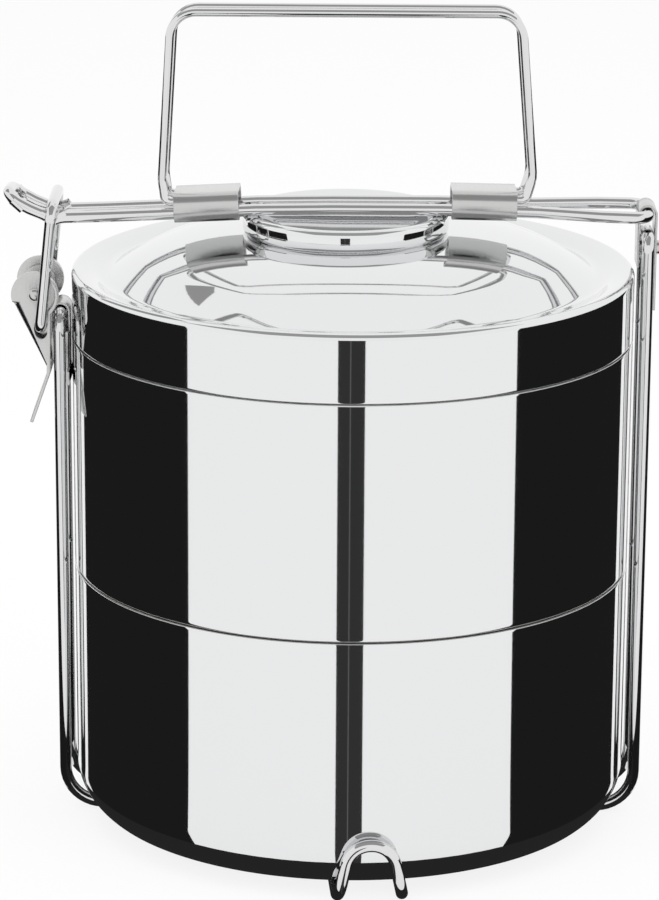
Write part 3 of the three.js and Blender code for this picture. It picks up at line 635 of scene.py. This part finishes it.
class TiffinLid(bpy.types.Operator):
    """Models the lid's domed shell with its rim and trough, its pan and its seal"""
    bl_idname = "tiffin.lid"
    bl_label = "Lid"

    def execute(self, context):
        size = sheet()
        foot = low("lid_outer_shell").z
        rim = rim_top()
        edge = OUTER_RADIUS - size.rim_width
        trough = rim - size.rim_fall
        dome = [(edge * (1 - i / DOME_STEPS), dome_height(edge * (1 - i / DOME_STEPS)))
                for i in range(1, DOME_STEPS)]
        roll = arc(OUTER_RADIUS - size.rim_round, rim - size.rim_round, size.rim_round, 0, 105, 10)
        slope = (roll[-1][0] - size.rim_width * SLOPE_SHARE, rim - size.rim_fall * SLOPE_SHARE)
        turned([(OUTER_RADIUS - size.gap, foot), (OUTER_RADIUS, foot + size.gap),
                (OUTER_RADIUS, foot + 2 * size.gap), (OUTER_RADIUS, (foot + rim) / 2),
                (OUTER_RADIUS, rim - size.rim_round - size.gap), *roll, slope,
                *[(edge + out * size.trough_round, trough + up * size.rim_fall)
                  for out, up in TROUGH_SHARES], *dome[2:], (0, rim + size.dome_rise)], size.wall)
        soften(SHELL_EDGE, angle=50)
        done("lid_dome", "polished_steel", "lid", "lid_outer_shell", smooth=60)
        pan_foot, pan_top = low("lid_inner_pan").z, high("lid_inner_pan").z - size.wall
        flange = OUTER_RADIUS - size.wall - size.gap
        turned([(0, pan_foot), *plug_corner(pan_foot), (size.plug_radius, pan_top), (flange, pan_top)],
               size.wall)
        done("lid_plug_pan", "inner_steel", "lid", "lid_inner_pan")
        make_gasket("lid_gasket", "lid")
        return {"FINISHED"}


# The knob's dish: steps in from the knob's edge over its band's rounding, and shares of the dish's depth
DISH_SHARES = [(2.5, 0.6), (3.2, 0.88), (5.2, 1)]


class TiffinKnob(bpy.types.Operator):
    """Models the knob: a shallow dish with a rounded band on a short neck, grooved for the bar"""
    bl_idname = "tiffin.knob"
    bl_label = "Knob"

    def cut_groove(self, x, y, floor, radius):
        knob = bpy.context.object
        bore = wires().frame / 2 + sheet().gap
        select_nothing()
        bpy.ops.mesh.primitive_cylinder_add(vertices=WIRE_SIDES, radius=bore, depth=3 * radius,
                                            location=(x, y, floor + bore),
                                            rotation=(0, math.pi / 2, 0))
        cut_away(knob, bpy.context.object)

    def execute(self, context):
        size = sheet()
        centre_x, radius, neck_foot, top = extents("lid_knob")
        band_foot = top - size.knob_band
        under = rim_top() + size.dome_rise + size.gap
        band = size.knob_round
        dish = [(radius - inward * band, top - depth * size.knob_dish) for inward, depth in DISH_SHARES]
        turned([(0, under), (size.knob_neck - size.knob_wall, under),
                (size.knob_neck - size.knob_wall, neck_foot), (size.knob_neck, neck_foot),
                (size.knob_neck, band_foot), (radius - band, band_foot),
                *arc(radius - band, band_foot + band, band, -85, 0, 8),
                *arc(radius - band, top - band, band, 0, 120, 12), *dish,
                (0, top - size.knob_dish)], centre_x=centre_x)
        half = wires().pitch / 2
        floor = top - size.knob_groove
        for y in (-half, half):
            self.cut_groove(centre_x, y, floor, radius)
        soften(BOWL_EDGE)
        done("lid_lift_knob", "polished_steel", "lid", "lid_knob", smooth=50)
        return {"FINISHED"}


def at(x, y, z, bend=0.0):
    """A corner whose X is counted from the containers' axis."""
    return (AXIS_X + x, y, z, bend)


class TiffinFrameWires(bpy.types.Operator):
    """Bends the side loop and the foot loop of the carrying frame"""
    bl_idname = "tiffin.frame_wires"
    bl_label = "Frame wires"

    def execute(self, context):
        size = wires()
        half = size.pitch / 2
        floor = size.frame / 2
        tops = {-1: size.latch_height, 1: size.hinge_height}
        corners = []
        for side in (-1, 1):
            corners += [at(side * size.reach, -side * half, tops[side], size.top_bend),
                        at(side * size.reach, side * half, tops[side], size.top_bend),
                        at(side * size.reach, side * half, floor, size.base_bend),
                        at(-side * size.reach, side * half, floor, size.base_bend)]
        swept(corners, size.frame, closed=True)
        done("side_frame_wire", "steel_wire", "frame", "side_wire_loop")
        lift = size.frame + sheet().gap
        crossing = half + size.frame * 1.5
        ramp = crossing + size.foot_ramp
        foot = size.foot_pitch / 2
        arch = size.foot_width / 2
        corners = []
        for side in (1, -1):
            corners += [(foot * side, ramp * side, floor, size.frame * 2),
                        (foot * side, crossing * side, floor + lift, size.frame * 2),
                        (foot * side, -crossing * side, floor + lift, size.frame * 2),
                        (foot * side, -ramp * side, floor, size.frame * 2),
                        (foot * side, -size.foot_reach * side, floor, size.foot_bend),
                        (arch * side, -size.foot_reach * side, size.foot_height, size.arch_bend),
                        (-arch * side, -size.foot_reach * side, size.foot_height, size.arch_bend),
                        (-foot * side, -size.foot_reach * side, floor, size.foot_bend)]
        turn = Matrix.Rotation(size.foot_turn, 3, "Z")
        places = []
        for *place, bend in corners:
            spot = turn @ Vector(place)
            places.append(at(spot.x, spot.y, spot.z, bend))
        swept(places, size.frame, closed=True)
        done("foot_frame_wire", "steel_wire", "frame", "foot_wire_loop")
        return {"FINISHED"}


# Height of the top bar along X: shares of the uprights' reach and of the camber, then of the hook
BAR_SHARES = [(1, -0.4), (0.84, -0.3), (0.62, -0.16), (0.3, 0), (-0.07, 0), (-0.33, -0.12),
              (-0.66, -0.6), (-0.85, -0.85), (-1, -1)]
HOOK_SHARES = [(0.08, -0.11), (0.24, 0.08), (0.56, 0.37), (0.84, 0.69), (1, 1)]


def bar_line():
    size = wires()
    hook = size.hook_reach - size.reach
    points = [(x * size.reach, size.bar_height + z * size.bar_camber) for x, z in BAR_SHARES]
    points[0] = (size.reach, size.hinge_axis)
    return points + [(-size.reach - x * hook, size.bar_height - size.bar_camber + z * size.hook_rise)
                     for x, z in HOOK_SHARES]


def bar_at(x):
    """Height and slope of the bar's centre line, X counted from the axis."""
    points = bar_line()
    after = next(i for i, point in enumerate(points) if point[0] <= x)
    (x0, z0), (x1, z1) = points[after - 1], points[after]
    slope = (z1 - z0) / (x1 - x0)
    return z0 + slope * (x - x0), slope


class TiffinTopBar(bpy.types.Operator):
    """Bends the top bar's closed loop, with its turned-up hook end"""
    bl_idname = "tiffin.top_bar"
    bl_label = "Top bar"

    def execute(self, context):
        size, fitting = wires(), fittings()
        lean_from = size.reach - fitting.strap_width
        lean_full = (fitting.handle_offset + (fitting.sleeve_spacing + fitting.sleeve_length) / 2
                     + fitting.strap_width / 2)
        points = bar_line()

        def one_side(y):
            row = []
            for i, (x, z) in enumerate(points):
                lean = min(max((lean_from - x) / (lean_from - lean_full), 0), 1)
                bend = {0: size.top_bend, len(points) - 1: size.hook_bend}.get(i, size.frame * 2)
                row.append(at(x, y, z - y * math.tan(fitting.lean) * lean, bend))
            return row

        half = size.pitch / 2
        corners = one_side(half)[::-1] + one_side(-half)
        swept(corners, size.frame, closed=True)
        done("top_bar_wire", "steel_wire", "top_bar", "top_bar_loop")
        return {"FINISHED"}


def leaned(point):
    """Turns a place back about the line along X through the bar's middle."""
    pivot = Vector((0, 0, wires().bar_height))
    return Matrix.Rotation(-fittings().lean, 3, "X") @ (Vector(point) - pivot) + pivot


class TiffinHandle(bpy.types.Operator):
    """Bends the two wires of the carrying handle"""
    bl_idname = "tiffin.handle"
    bl_label = "Handle"

    def execute(self, context):
        size, fitting = wires(), fittings()
        middle = fitting.handle_offset

        def one_side(turn):
            inner = middle + turn * (fitting.sleeve_spacing - fitting.sleeve_length / 2) / 2
            mouth = middle + turn * (fitting.sleeve_spacing + fitting.sleeve_length) / 2
            outer = mouth + turn * (fitting.foot_bend + sheet().gap)
            level = bar_at(outer)[0] + fitting.wire_lift
            foot = middle + fitting.handle_skew + turn * fitting.handle_foot / 2
            return [(inner, bar_at(inner)[0] + fitting.wire_lift, 0), (outer, level, fitting.foot_bend),
                    (foot, level + fitting.slant_height, fitting.slant_bend),
                    (middle + turn * fitting.handle_top / 2, fitting.handle_height,
                     fitting.handle_bend)]

        line = one_side(-1) + one_side(1)[::-1]
        for name, node, y in (("handle_wire_front", "bail_wire_front", -size.pitch / 2),
                              ("handle_wire_back", "bail_wire_back", size.pitch / 2)):
            corners = []
            for x, z, bend in line:
                spot = leaned((x, y, z))
                corners.append(at(spot.x, spot.y, spot.z, bend))
            swept(corners, size.handle)
            done(name, "steel_wire", "top_bar", node)
        return {"FINISHED"}


class TiffinSleeves(bpy.types.Operator):
    """Presses the two satin sleeves that hold the bar wires and the handle's ends"""
    bl_idname = "tiffin.sleeves"
    bl_label = "Sleeves"

    def execute(self, context):
        fitting = fittings()

        def runs_along(edge):
            first, second = ends_of(edge)
            return abs(first.x - second.x) > fitting.sleeve_length / 2

        for name, node, turn in (("bar_sleeve_left", "sleeve_left", -1),
                                 ("bar_sleeve_right", "sleeve_right", 1)):
            x = fitting.handle_offset + turn * fitting.sleeve_spacing / 2
            height, slope = bar_at(x)
            middle = leaned((x, 0, height + fitting.sleeve_height / 2 - fitting.sleeve_drop))
            select_nothing()
            bpy.ops.mesh.primitive_cube_add(
                size=1, location=(AXIS_X + middle.x, middle.y, middle.z),
                rotation=(-fitting.lean, -math.atan(slope), 0))
            sleeve = bpy.context.object
            sleeve.scale = (fitting.sleeve_length, fitting.sleeve_depth, fitting.sleeve_height)
            in_edit_mode()
            choose("EDGE", runs_along)
            bpy.ops.mesh.bevel(offset=fitting.sleeve_round, segments=SLEEVE_STEPS)
            choose("FACE", lambda face: abs(face.normal.x) > MOSTLY)
            bpy.ops.mesh.delete(type="FACE")
            object_mode()
            modify("SOLIDIFY", thickness=sheet().fitting, offset=-1)
            soften(FOLD_EDGE)
            done(name, "satin_steel", "top_bar", node)
        return {"FINISHED"}


# Keeps the two bends of a folded strip just short of meeting
ROUND_TOP = 0.999


def folded_strip(x, z, left_leaf, right_leaf, width):
    """A strip folded over a wire: leaf, round top and leaf."""
    middle = wires().frame / 2 + sheet().gap + sheet().fitting / 2
    swept([at(x - middle, 0, z - left_leaf), at(x - middle, 0, z + middle, middle * ROUND_TOP),
           at(x + middle, 0, z + middle, middle * ROUND_TOP), at(x + middle, 0, z - right_leaf)],
          width, sheet().fitting)
    bpy.context.object.data.validate()


def round_head(x, y, z, radius, height, axis, straight=0.35):
    """A short round bar along its axis, whose outer edge is rounded but for a straight share."""
    select_nothing()
    facing = Vector(axis)
    turn = facing.to_track_quat("Z", "Y").to_euler()
    bpy.ops.mesh.primitive_cylinder_add(vertices=HEAD_SIDES, radius=radius, depth=height,
                                        location=Vector((x, y, z)) + facing * height / 2, rotation=turn)
    in_edit_mode()
    choose("FACE", lambda face: face.normal.dot(facing) > MOSTLY)
    bpy.ops.mesh.bevel(offset=height * (1 - straight), segments=HEAD_STEPS)
    object_mode()
    return bpy.context.object


def domed_head(x, y, z, radius, height, side):
    """A domed rivet head on a thin washer, facing one way along Y."""
    select_nothing()
    bpy.ops.mesh.primitive_uv_sphere_add(segments=HEAD_SIDES, ring_count=HEAD_SIDES // 2,
                                         radius=radius * DOME_SHARE, location=(x, y, z))
    dome = bpy.context.object
    dome.scale = (1, height / (radius * DOME_SHARE), 1)
    in_edit_mode()
    bpy.ops.mesh.bisect(plane_co=(x, y, z), plane_no=(0, side, 0), use_fill=True, clear_inner=True)
    outward()
    object_mode()
    washer = round_head(x, y, z, radius, height / 3, (0, side, 0), straight=0.7)
    join_pieces([dome, washer])
    return bpy.context.object


class TiffinHinge(bpy.types.Operator):
    """Folds the hinge strap over the bar's end and closes it with its rivet"""
    bl_idname = "tiffin.hinge"
    bl_label = "Hinge"

    def execute(self, context):
        size, fitting = wires(), fittings()
        folded_strip(size.reach, size.hinge_axis, fitting.inner_leaf, fitting.outer_leaf,
                     fitting.strap_width)
        soften(FOLD_EDGE)
        done("hinge_fold", "satin_steel", "frame", "hinge_strap")
        low_corner, high_corner = low("hinge_rivet"), high("hinge_rivet")
        z = (low_corner.z + high_corner.z) / 2
        radius = (high_corner.z - low_corner.z) / 2
        strap = size.frame / 2 + sheet().gap + sheet().fitting
        x = AXIS_X + size.reach
        head = round_head(x + strap + sheet().gap / 6, 0, z, radius, high_corner.x - x - strap, (1, 0, 0))
        shank = round_head(x - strap, 0, z, radius / 2, 2 * strap, (1, 0, 0), straight=0.95)
        collar_half = size.frame / 2
        collar = round_head(x - collar_half, 0, z, radius, 2 * collar_half, (1, 0, 0), straight=0.95)
        join_pieces([head, shank, collar])
        done("hinge_rivet_round", "satin_steel", "frame", "hinge_rivet")
        return {"FINISHED"}


def lever_line():
    """Where the lever's web touches its round end, and the way that the web faces."""
    fitting = fittings()
    foot_x = fitting.pivot_across - fitting.lever_foot_across
    foot_z = fitting.lever_foot - fitting.pivot_height
    distance = math.hypot(foot_x, foot_z)
    angle = math.atan2(foot_z, foot_x) - math.acos(fitting.lever_round / distance)
    return Vector((math.cos(angle), 0, math.sin(angle))), math.degrees(angle)


class TiffinBracket(bpy.types.Operator):
    """Folds the latch bracket over the left uprights, with its ears, feet and pivot pin"""
    bl_idname = "tiffin.bracket"
    bl_label = "Latch bracket"

    def execute(self, context):
        size, fitting = wires(), fittings()
        thickness = sheet().fitting
        pivot = Vector((-fitting.pivot_across, 0, fitting.pivot_height))
        facing, degrees = lever_line()
        folded_strip(-size.reach, size.latch_height, fitting.bracket_lip,
                     size.latch_height - fitting.bracket_foot, fitting.bracket_width)
        strip = bpy.context.object
        leaf = AXIS_X - size.reach + size.frame / 2 + sheet().gap
        foot_top = fitting.bracket_foot + fitting.bracket_feet

        def plate(top, span):
            outlined([(leaf, fitting.bracket_foot), (leaf + thickness, fitting.bracket_foot),
                      (leaf + thickness, top), (leaf, top)], -span / 2, span / 2)
            return bpy.context.object

        feet, web = plate(foot_top, fitting.bracket_span), plate(fitting.ear_top, fitting.ear_span)
        touch = pivot + facing * fitting.ear_round
        low_x = touch.x + (touch.z - foot_top) * facing.z / facing.x
        outside = -size.reach - size.frame / 2 - sheet().gap
        outline = [(leaf - AXIS_X + thickness, foot_top), (leaf - AXIS_X + thickness, fitting.ear_top),
                   (outside, fitting.ear_top),
                   *arc(pivot.x, pivot.z, fitting.ear_round, 0, 360 + degrees, 40), (low_x, foot_top)]
        ears = []
        for side in (-1, 1):
            y = side * fitting.ear_span / 2
            outlined([(AXIS_X + x, z) for x, z in outline], y - side * thickness, y)
            ears.append(bpy.context.object)
        join_pieces([strip, feet, web, *ears])
        soften(FOLD_EDGE)
        done("latch_bracket_fold", "satin_steel", "frame", "latch_bracket")
        heads = []
        cheek = fitting.lever_span / 2 + sheet().gap / 6
        pin_end = high("latch_pivot_rivet").y
        for side in (-1, 1):
            heads.append(domed_head(AXIS_X + pivot.x, side * cheek, pivot.z, fitting.head_radius,
                                    pin_end - cheek, side))
        heads.append(round_head(AXIS_X + pivot.x, -cheek, pivot.z, fitting.pin_radius, 2 * cheek,
                                (0, 1, 0), straight=0.98))
        join_pieces(heads)
        done("latch_pivot_pin", "satin_steel", "frame", "latch_pivot_rivet")
        return {"FINISHED"}


# The angle and the bends of a cheek's rim, and how far the tab's upper end stands inside the web
RIM_FROM, RIM_BEND = 62, 0.3 * MM
TAB_TUCK = 1.4


class TiffinLever(bpy.types.Operator):
    """Presses the latch lever: drop-shaped cheeks, a web with rounded bends and a thumb tab"""
    bl_idname = "tiffin.lever"
    bl_label = "Latch lever"

    def execute(self, context):
        size, fitting = wires(), fittings()
        pivot_x, pivot_z = -fitting.pivot_across, fitting.pivot_height
        facing, degrees = lever_line()
        right = -size.reach - size.frame / 2 - 2 * sheet().gap
        start = math.degrees(math.atan2(-math.sqrt(fitting.lever_round ** 2 - (right - pivot_x) ** 2),
                                        right - pivot_x))
        round_end = arc(pivot_x, pivot_z, fitting.lever_round, start, 360 + degrees, 48)
        outline = [(-fitting.lever_foot_across, fitting.lever_foot),
                   (right - sheet().gap, fitting.lever_foot), *round_end]
        half = fitting.lever_span / 2
        outlined([(AXIS_X + x, z) for x, z in outline], -half, half)
        wall = Vector((AXIS_X + pivot_x, 0, pivot_z)).dot(facing) + fitting.lever_round

        def on_web(place):
            return Vector((place.x, 0, place.z)).dot(facing) > wall - OVERLAP

        def bends_web(edge):
            first, second = ends_of(edge)
            return abs(first.y - second.y) < CLOSE and on_web(first) and on_web(second)

        def open_face(face):
            """The lever has no sheet over its foot, round its pivot's end or towards the box."""
            foot = face.normal.z < -MOSTLY
            round_part = abs(face.normal.y) < SLIGHTLY and not on_web(face.center)
            bent = face.normal.dot(facing) > SLIGHTLY
            return abs(face.normal.y) <= MOSTLY and (foot or round_part or not bent)

        choose("EDGE", bends_web)
        bpy.ops.mesh.bevel(offset=fitting.lever_bend, segments=LEVER_STEPS)
        choose("FACE", open_face)
        bpy.ops.mesh.delete(type="FACE")
        object_mode()
        modify("SOLIDIFY", thickness=sheet().lever, offset=-1)
        soften(LEVER_EDGE)
        shell = bpy.context.object
        pin_x, pin_z = pivot_x + fitting.pin_across, pivot_z - fitting.pin_drop
        for side in (-1, 1):
            select_nothing()
            y = side * (half - sheet().lever / 2)
            bpy.ops.mesh.primitive_cylinder_add(
                vertices=WIRE_SIDES, radius=fitting.slot_radius, depth=3 * sheet().lever,
                location=(AXIS_X + pin_x, y, pin_z - fitting.slot_drop / 2), rotation=(math.pi / 2, 0, 0))
            cutter = bpy.context.object
            cutter.scale = (1, 1 + fitting.slot_drop / fitting.slot_radius, 1)
            cut_away(shell, cutter)
        rims = []
        edge = fitting.lever_round - sheet().lever / 2
        rim_line = [*arc(pivot_x, pivot_z, edge, RIM_FROM, start, 12),
                    (right - sheet().gap - sheet().lever / 2, fitting.lever_foot)]
        for side in (-1, 1):
            y = side * (half + fitting.rim_height / 2 - OVERLAP)
            swept([at(x, y, z, RIM_BEND) for x, z in rim_line], fitting.rim_height, sheet().lever)
            soften(LEVER_EDGE)
            rims.append(bpy.context.object)
        foot_x, foot_z = -fitting.lever_foot_across, fitting.lever_foot
        inward = facing.x * sheet().lever / 2
        swept([at(foot_x - inward * TAB_TUCK, 0, foot_z + sheet().lever + fitting.tab_lap),
               at(foot_x - inward, 0, foot_z, fitting.tab_bend),
               at(-fitting.tab_across, 0, fitting.tab_height)], fitting.tab_width, sheet().lever)
        soften(TAB_EDGE)
        join_pieces([shell, bpy.context.object, *rims])
        done("latch_thumb_lever", "satin_steel", "lever", "latch_lever")
        return {"FINISHED"}


class TiffinLink(bpy.types.Operator):
    """Bends the latch's wire link, with its pins turned into the lever's cheeks"""
    bl_idname = "tiffin.link"
    bl_label = "Latch link"

    def execute(self, context):
        size, fitting = wires(), fittings()
        pin_x = -fitting.pivot_across + fitting.pin_across
        pin_z = fitting.pivot_height - fitting.pin_drop
        half = size.link_pitch / 2

        def one_side(turn):
            return [at(pin_x, turn * size.link_tip, pin_z), at(pin_x, turn * half, pin_z, size.link_bend),
                    at(-size.link_across, turn * half, size.link_top, size.link_top_bend)]

        swept(one_side(-1) + one_side(1)[::-1], size.link)
        done("latch_wire_link", "steel_wire", "link", "latch_link")
        return {"FINISHED"}


class TiffinHidden(bpy.types.Operator):
    """Gives the carried-over inner pieces their finishes"""
    bl_idname = "tiffin.hidden"
    bl_label = "Inner pieces"

    def execute(self, context):
        slots = {"lid_insulation": "foam", "upper_insulation": "foam", "lower_insulation": "foam",
                 "knob_stud": "inner_steel", "knob_washer": "inner_steel", "knob_nut": "inner_steel"}
        for node, slot in slots.items():
            piece = frame["nodes"][node]
            piece.data.materials.clear()
            piece.data.materials.append(material(slot))
        return {"FINISHED"}


CAMERA_PLACE = Vector((0, -930 * MM, 362.66 * MM))
CAMERA_PITCH = 0.28185
CAMERA_YAW = -0.00601
CAMERA_ROLL = 0.00541
FOCAL_PIXELS = 3835.58
IMAGE_HEIGHT = 900
STUDIO_STRENGTH = 0.6
FLOOR_SHADE, FLOOR_GLOW = 0.9, 0.86
# Cards in the air: their shade and their corners
AIR_CARDS = {
    "dark_ceiling": (0.36, [(-1.2, -1.6, 1.4), (-1.2, 0.1, 1.4), (1.2, 0.1, 1.4), (1.2, -1.6, 1.4)]),
    "side_flag": (0.33, [(-1.373, 0.948, 0.645), (-0.474, 0.953, 1.179), (-0.685, 0.611, 1.352),
                         (-0.869, 0.308, 1.425), (-1.166, 0.353, 1.253)])}
# Cards on the floor: the wall angles that show them, their far edge, their shade and their height
WALL_CARDS = {"dark_card_left": (-72, -34.8, 5.5, 0.012, 0.0002),
              "dark_card_right": (34.8, 72, 5.5, 0.012, 0.0002),
              "front_strip": (-2.8, 2.6, 1.6, 0.035, 0.0002),
              "front_line": (-0.4, -0.2, 1.6, 0.13, 0.0004)}
CARD_NEAR = 4 * MM
# Painted shadow: a dark ring on the floor round the base, seen only in reflections, in place of the
# floor's contact shadow; its reach past the wall, its height and its shade
PAINTED_SHADOW_REACH, PAINTED_SHADOW_HEIGHT, PAINTED_SHADOW_SHADE = 6.8 * MM, 0.3 * MM, 0.02
# Lamps: place, turn, size and power
LAMPS = [((0, 0, 1.6), (0, 0, 0), 1.6, 14), ((-1.2, -1.0, 1.1), (0.8, 0, -0.87), 1.0, 6),
         ((1.2, -1.0, 1.1), (0.8, 0, 0.87), 1.0, 6)]


def add_camera():
    """The photograph's camera, found from the seam and rim circles."""
    forward = Vector((math.sin(CAMERA_YAW) * math.cos(CAMERA_PITCH),
                      math.cos(CAMERA_YAW) * math.cos(CAMERA_PITCH), -math.sin(CAMERA_PITCH)))
    right = Vector((math.cos(CAMERA_YAW), -math.sin(CAMERA_YAW), 0))
    up = right.cross(forward)
    turned_right = right * math.cos(CAMERA_ROLL) + up * math.sin(CAMERA_ROLL)
    turned_up = -right * math.sin(CAMERA_ROLL) + up * math.cos(CAMERA_ROLL)
    turn = Matrix((turned_right, turned_up, -forward)).transposed()
    bpy.ops.object.camera_add(location=CAMERA_PLACE + Vector((AXIS_X, 0, 0)),
                              rotation=turn.to_euler())
    camera = bpy.context.object
    camera.name = "photo_camera"
    camera.data.sensor_fit = "VERTICAL"
    camera.data.sensor_height = 24
    camera.data.lens = FOCAL_PIXELS * camera.data.sensor_height / IMAGE_HEIGHT
    camera.data.clip_end = 50
    bpy.context.scene.camera = camera


def white_for_views(tree, plain, bright, strength, output):
    """Shows the bright shader to camera, glossy and transmission rays, and the plain one to the rest."""
    path = tree.nodes.new("ShaderNodeLightPath")
    join = tree.links.new
    seen = path.outputs["Is Camera Ray"]
    for ray in ("Is Glossy Ray", "Is Transmission Ray"):
        either = tree.nodes.new("ShaderNodeMath")
        either.operation = "MAXIMUM"
        join(seen, either.inputs[0])
        join(path.outputs[ray], either.inputs[1])
        seen = either.outputs[0]
    share = tree.nodes.new("ShaderNodeMath")
    share.operation = "MULTIPLY"
    share.inputs[1].default_value = strength
    mix = tree.nodes.new("ShaderNodeMixShader")
    join(seen, share.inputs[0])
    join(share.outputs[0], mix.inputs["Fac"])
    join(plain.outputs[0], mix.inputs[1])
    join(bright.outputs[0], mix.inputs[2])
    join(mix.outputs[0], tree.nodes[output].inputs["Surface"])


def floor_material():
    material, tree, shader = new_material("pale_floor")
    shader.inputs["Base Color"].default_value = (FLOOR_SHADE, FLOOR_SHADE, FLOOR_SHADE, 1)
    shader.inputs["Roughness"].default_value = 0.9
    glow = new_node(tree, "ShaderNodeEmission", Strength=1)
    white_for_views(tree, shader, glow, FLOOR_GLOW, "Material Output")
    return material


def card_material(name, shade):
    material, tree, _ = new_material(name)
    glow = new_node(tree, "ShaderNodeEmission", Color=(shade, shade, shade, 1), Strength=1)
    tree.links.new(glow.outputs[0], tree.nodes["Material Output"].inputs["Surface"])
    return material


def add_card(name, corners, shade):
    """A flat card that shows only in reflections."""
    select_nothing()
    bpy.ops.mesh.primitive_circle_add(vertices=len(corners), fill_type="NGON")
    card = bpy.context.object
    card.name = name
    for vertex, corner in zip(card.data.vertices, corners):
        vertex.co = corner
    card.data.materials.append(card_material(name, shade))
    card.visible_camera = False
    card.visible_diffuse = False
    card.visible_shadow = False
    card.visible_transmission = False


def on_floor(angle, distance, height):
    """Where the wall at an angle from the front reflects the floor, at a distance from the wall."""
    near, way = math.radians(angle), math.radians(2 * angle)
    return (AXIS_X + OUTER_RADIUS * math.sin(near) + distance * math.sin(way),
            -OUTER_RADIUS * math.cos(near) - distance * math.cos(way), height)


class TiffinStage(bpy.types.Operator):
    """Sets up the pale floor, the soft studio light, the reflected cards with a painted shadow round the
    base, and the camera
    """
    bl_idname = "tiffin.stage"
    bl_label = "Stage"

    def execute(self, context):
        scene = context.scene
        scene.view_settings.view_transform = "Standard"
        select_nothing()
        add_camera()
        bpy.ops.mesh.primitive_plane_add(size=12, location=(0, 0, 0))
        floor = context.object
        floor.name = "floor"
        floor.data.materials.append(floor_material())
        world = scene.world or bpy.data.worlds.new("world")
        scene.world = world
        world.use_nodes = True
        tree = world.node_tree
        plain = tree.nodes["Background"]
        plain.inputs["Color"].default_value = (1, 1, 1, 1)
        plain.inputs["Strength"].default_value = STUDIO_STRENGTH
        bright = new_node(tree, "ShaderNodeBackground", Strength=1, Color=(1, 1, 1, 1))
        white_for_views(tree, plain, bright, 1, "World Output")
        for name, (left, right, far, shade, height) in WALL_CARDS.items():
            places = [(left, CARD_NEAR), (left, far), (right, far), (right, CARD_NEAR),
                      ((left + right) / 2, CARD_NEAR)]
            add_card(name, [on_floor(*place, height) for place in places], shade)
        for name, (shade, corners) in AIR_CARDS.items():
            add_card(name, corners, shade)
        # Painted shadow: the dark ring round the base, shown only in reflections in place of the floor's
        # contact shadow
        ring = arc(0, 0, OUTER_RADIUS + PAINTED_SHADOW_REACH, 0, 354, 59)
        add_card("painted_base_shadow", [(AXIS_X + x, y, PAINTED_SHADOW_HEIGHT) for x, y in ring], PAINTED_SHADOW_SHADE)
        for place, turn, size, power in LAMPS:
            bpy.ops.object.light_add(type="AREA", location=place, rotation=turn)
            lamp = context.object
            lamp.data.size = size
            lamp.data.energy = power
            lamp.visible_glossy = False
        return {"FINISHED"}


class TiffinPanel(bpy.types.Panel):
    """Lists the tiffin box's pieces, sizes and finishes"""
    bl_idname = "VIEW3D_PT_tiffin"
    bl_label = "Tiffin box"
    bl_space_type = "VIEW_3D"
    bl_region_type = "UI"
    bl_category = "Tiffin"

    def draw(self, context):
        for operator in OPERATORS:
            self.layout.operator(operator.bl_idname)
        scene = context.scene
        for group in (scene.tiffin_sheet, scene.tiffin_wire, scene.tiffin_fitting, scene.tiffin_finish):
            column = self.layout.column()
            for name in group.__annotations__:
                column.prop(group, name)


OPERATORS = (TiffinStage, TiffinLowerContainer, TiffinUpperContainer, TiffinLid, TiffinKnob,
             TiffinFrameWires, TiffinTopBar, TiffinHandle, TiffinSleeves, TiffinHinge,
             TiffinBracket, TiffinLever, TiffinLink, TiffinHidden)
GROUPS = {"tiffin_sheet": TiffinSheetSizes, "tiffin_wire": TiffinWireSizes,
          "tiffin_fitting": TiffinFittingSizes, "tiffin_finish": TiffinFinish}


def register():
    for group in GROUPS.values():
        bpy.utils.register_class(group)
    for name, group in GROUPS.items():
        setattr(bpy.types.Scene, name, bpy.props.PointerProperty(type=group))
    for operator in OPERATORS:
        bpy.utils.register_class(operator)
    bpy.utils.register_class(TiffinPanel)


def unregister():
    bpy.utils.unregister_class(TiffinPanel)
    for operator in reversed(OPERATORS):
        bpy.utils.unregister_class(operator)
    for name, group in GROUPS.items():
        delattr(bpy.types.Scene, name)
        bpy.utils.unregister_class(group)


def main():
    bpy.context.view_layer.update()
    register()
    for operator in OPERATORS:
        family, name = operator.bl_idname.split(".")
        getattr(getattr(bpy.ops, family), name)()


if __name__ == "__main__":
    main()
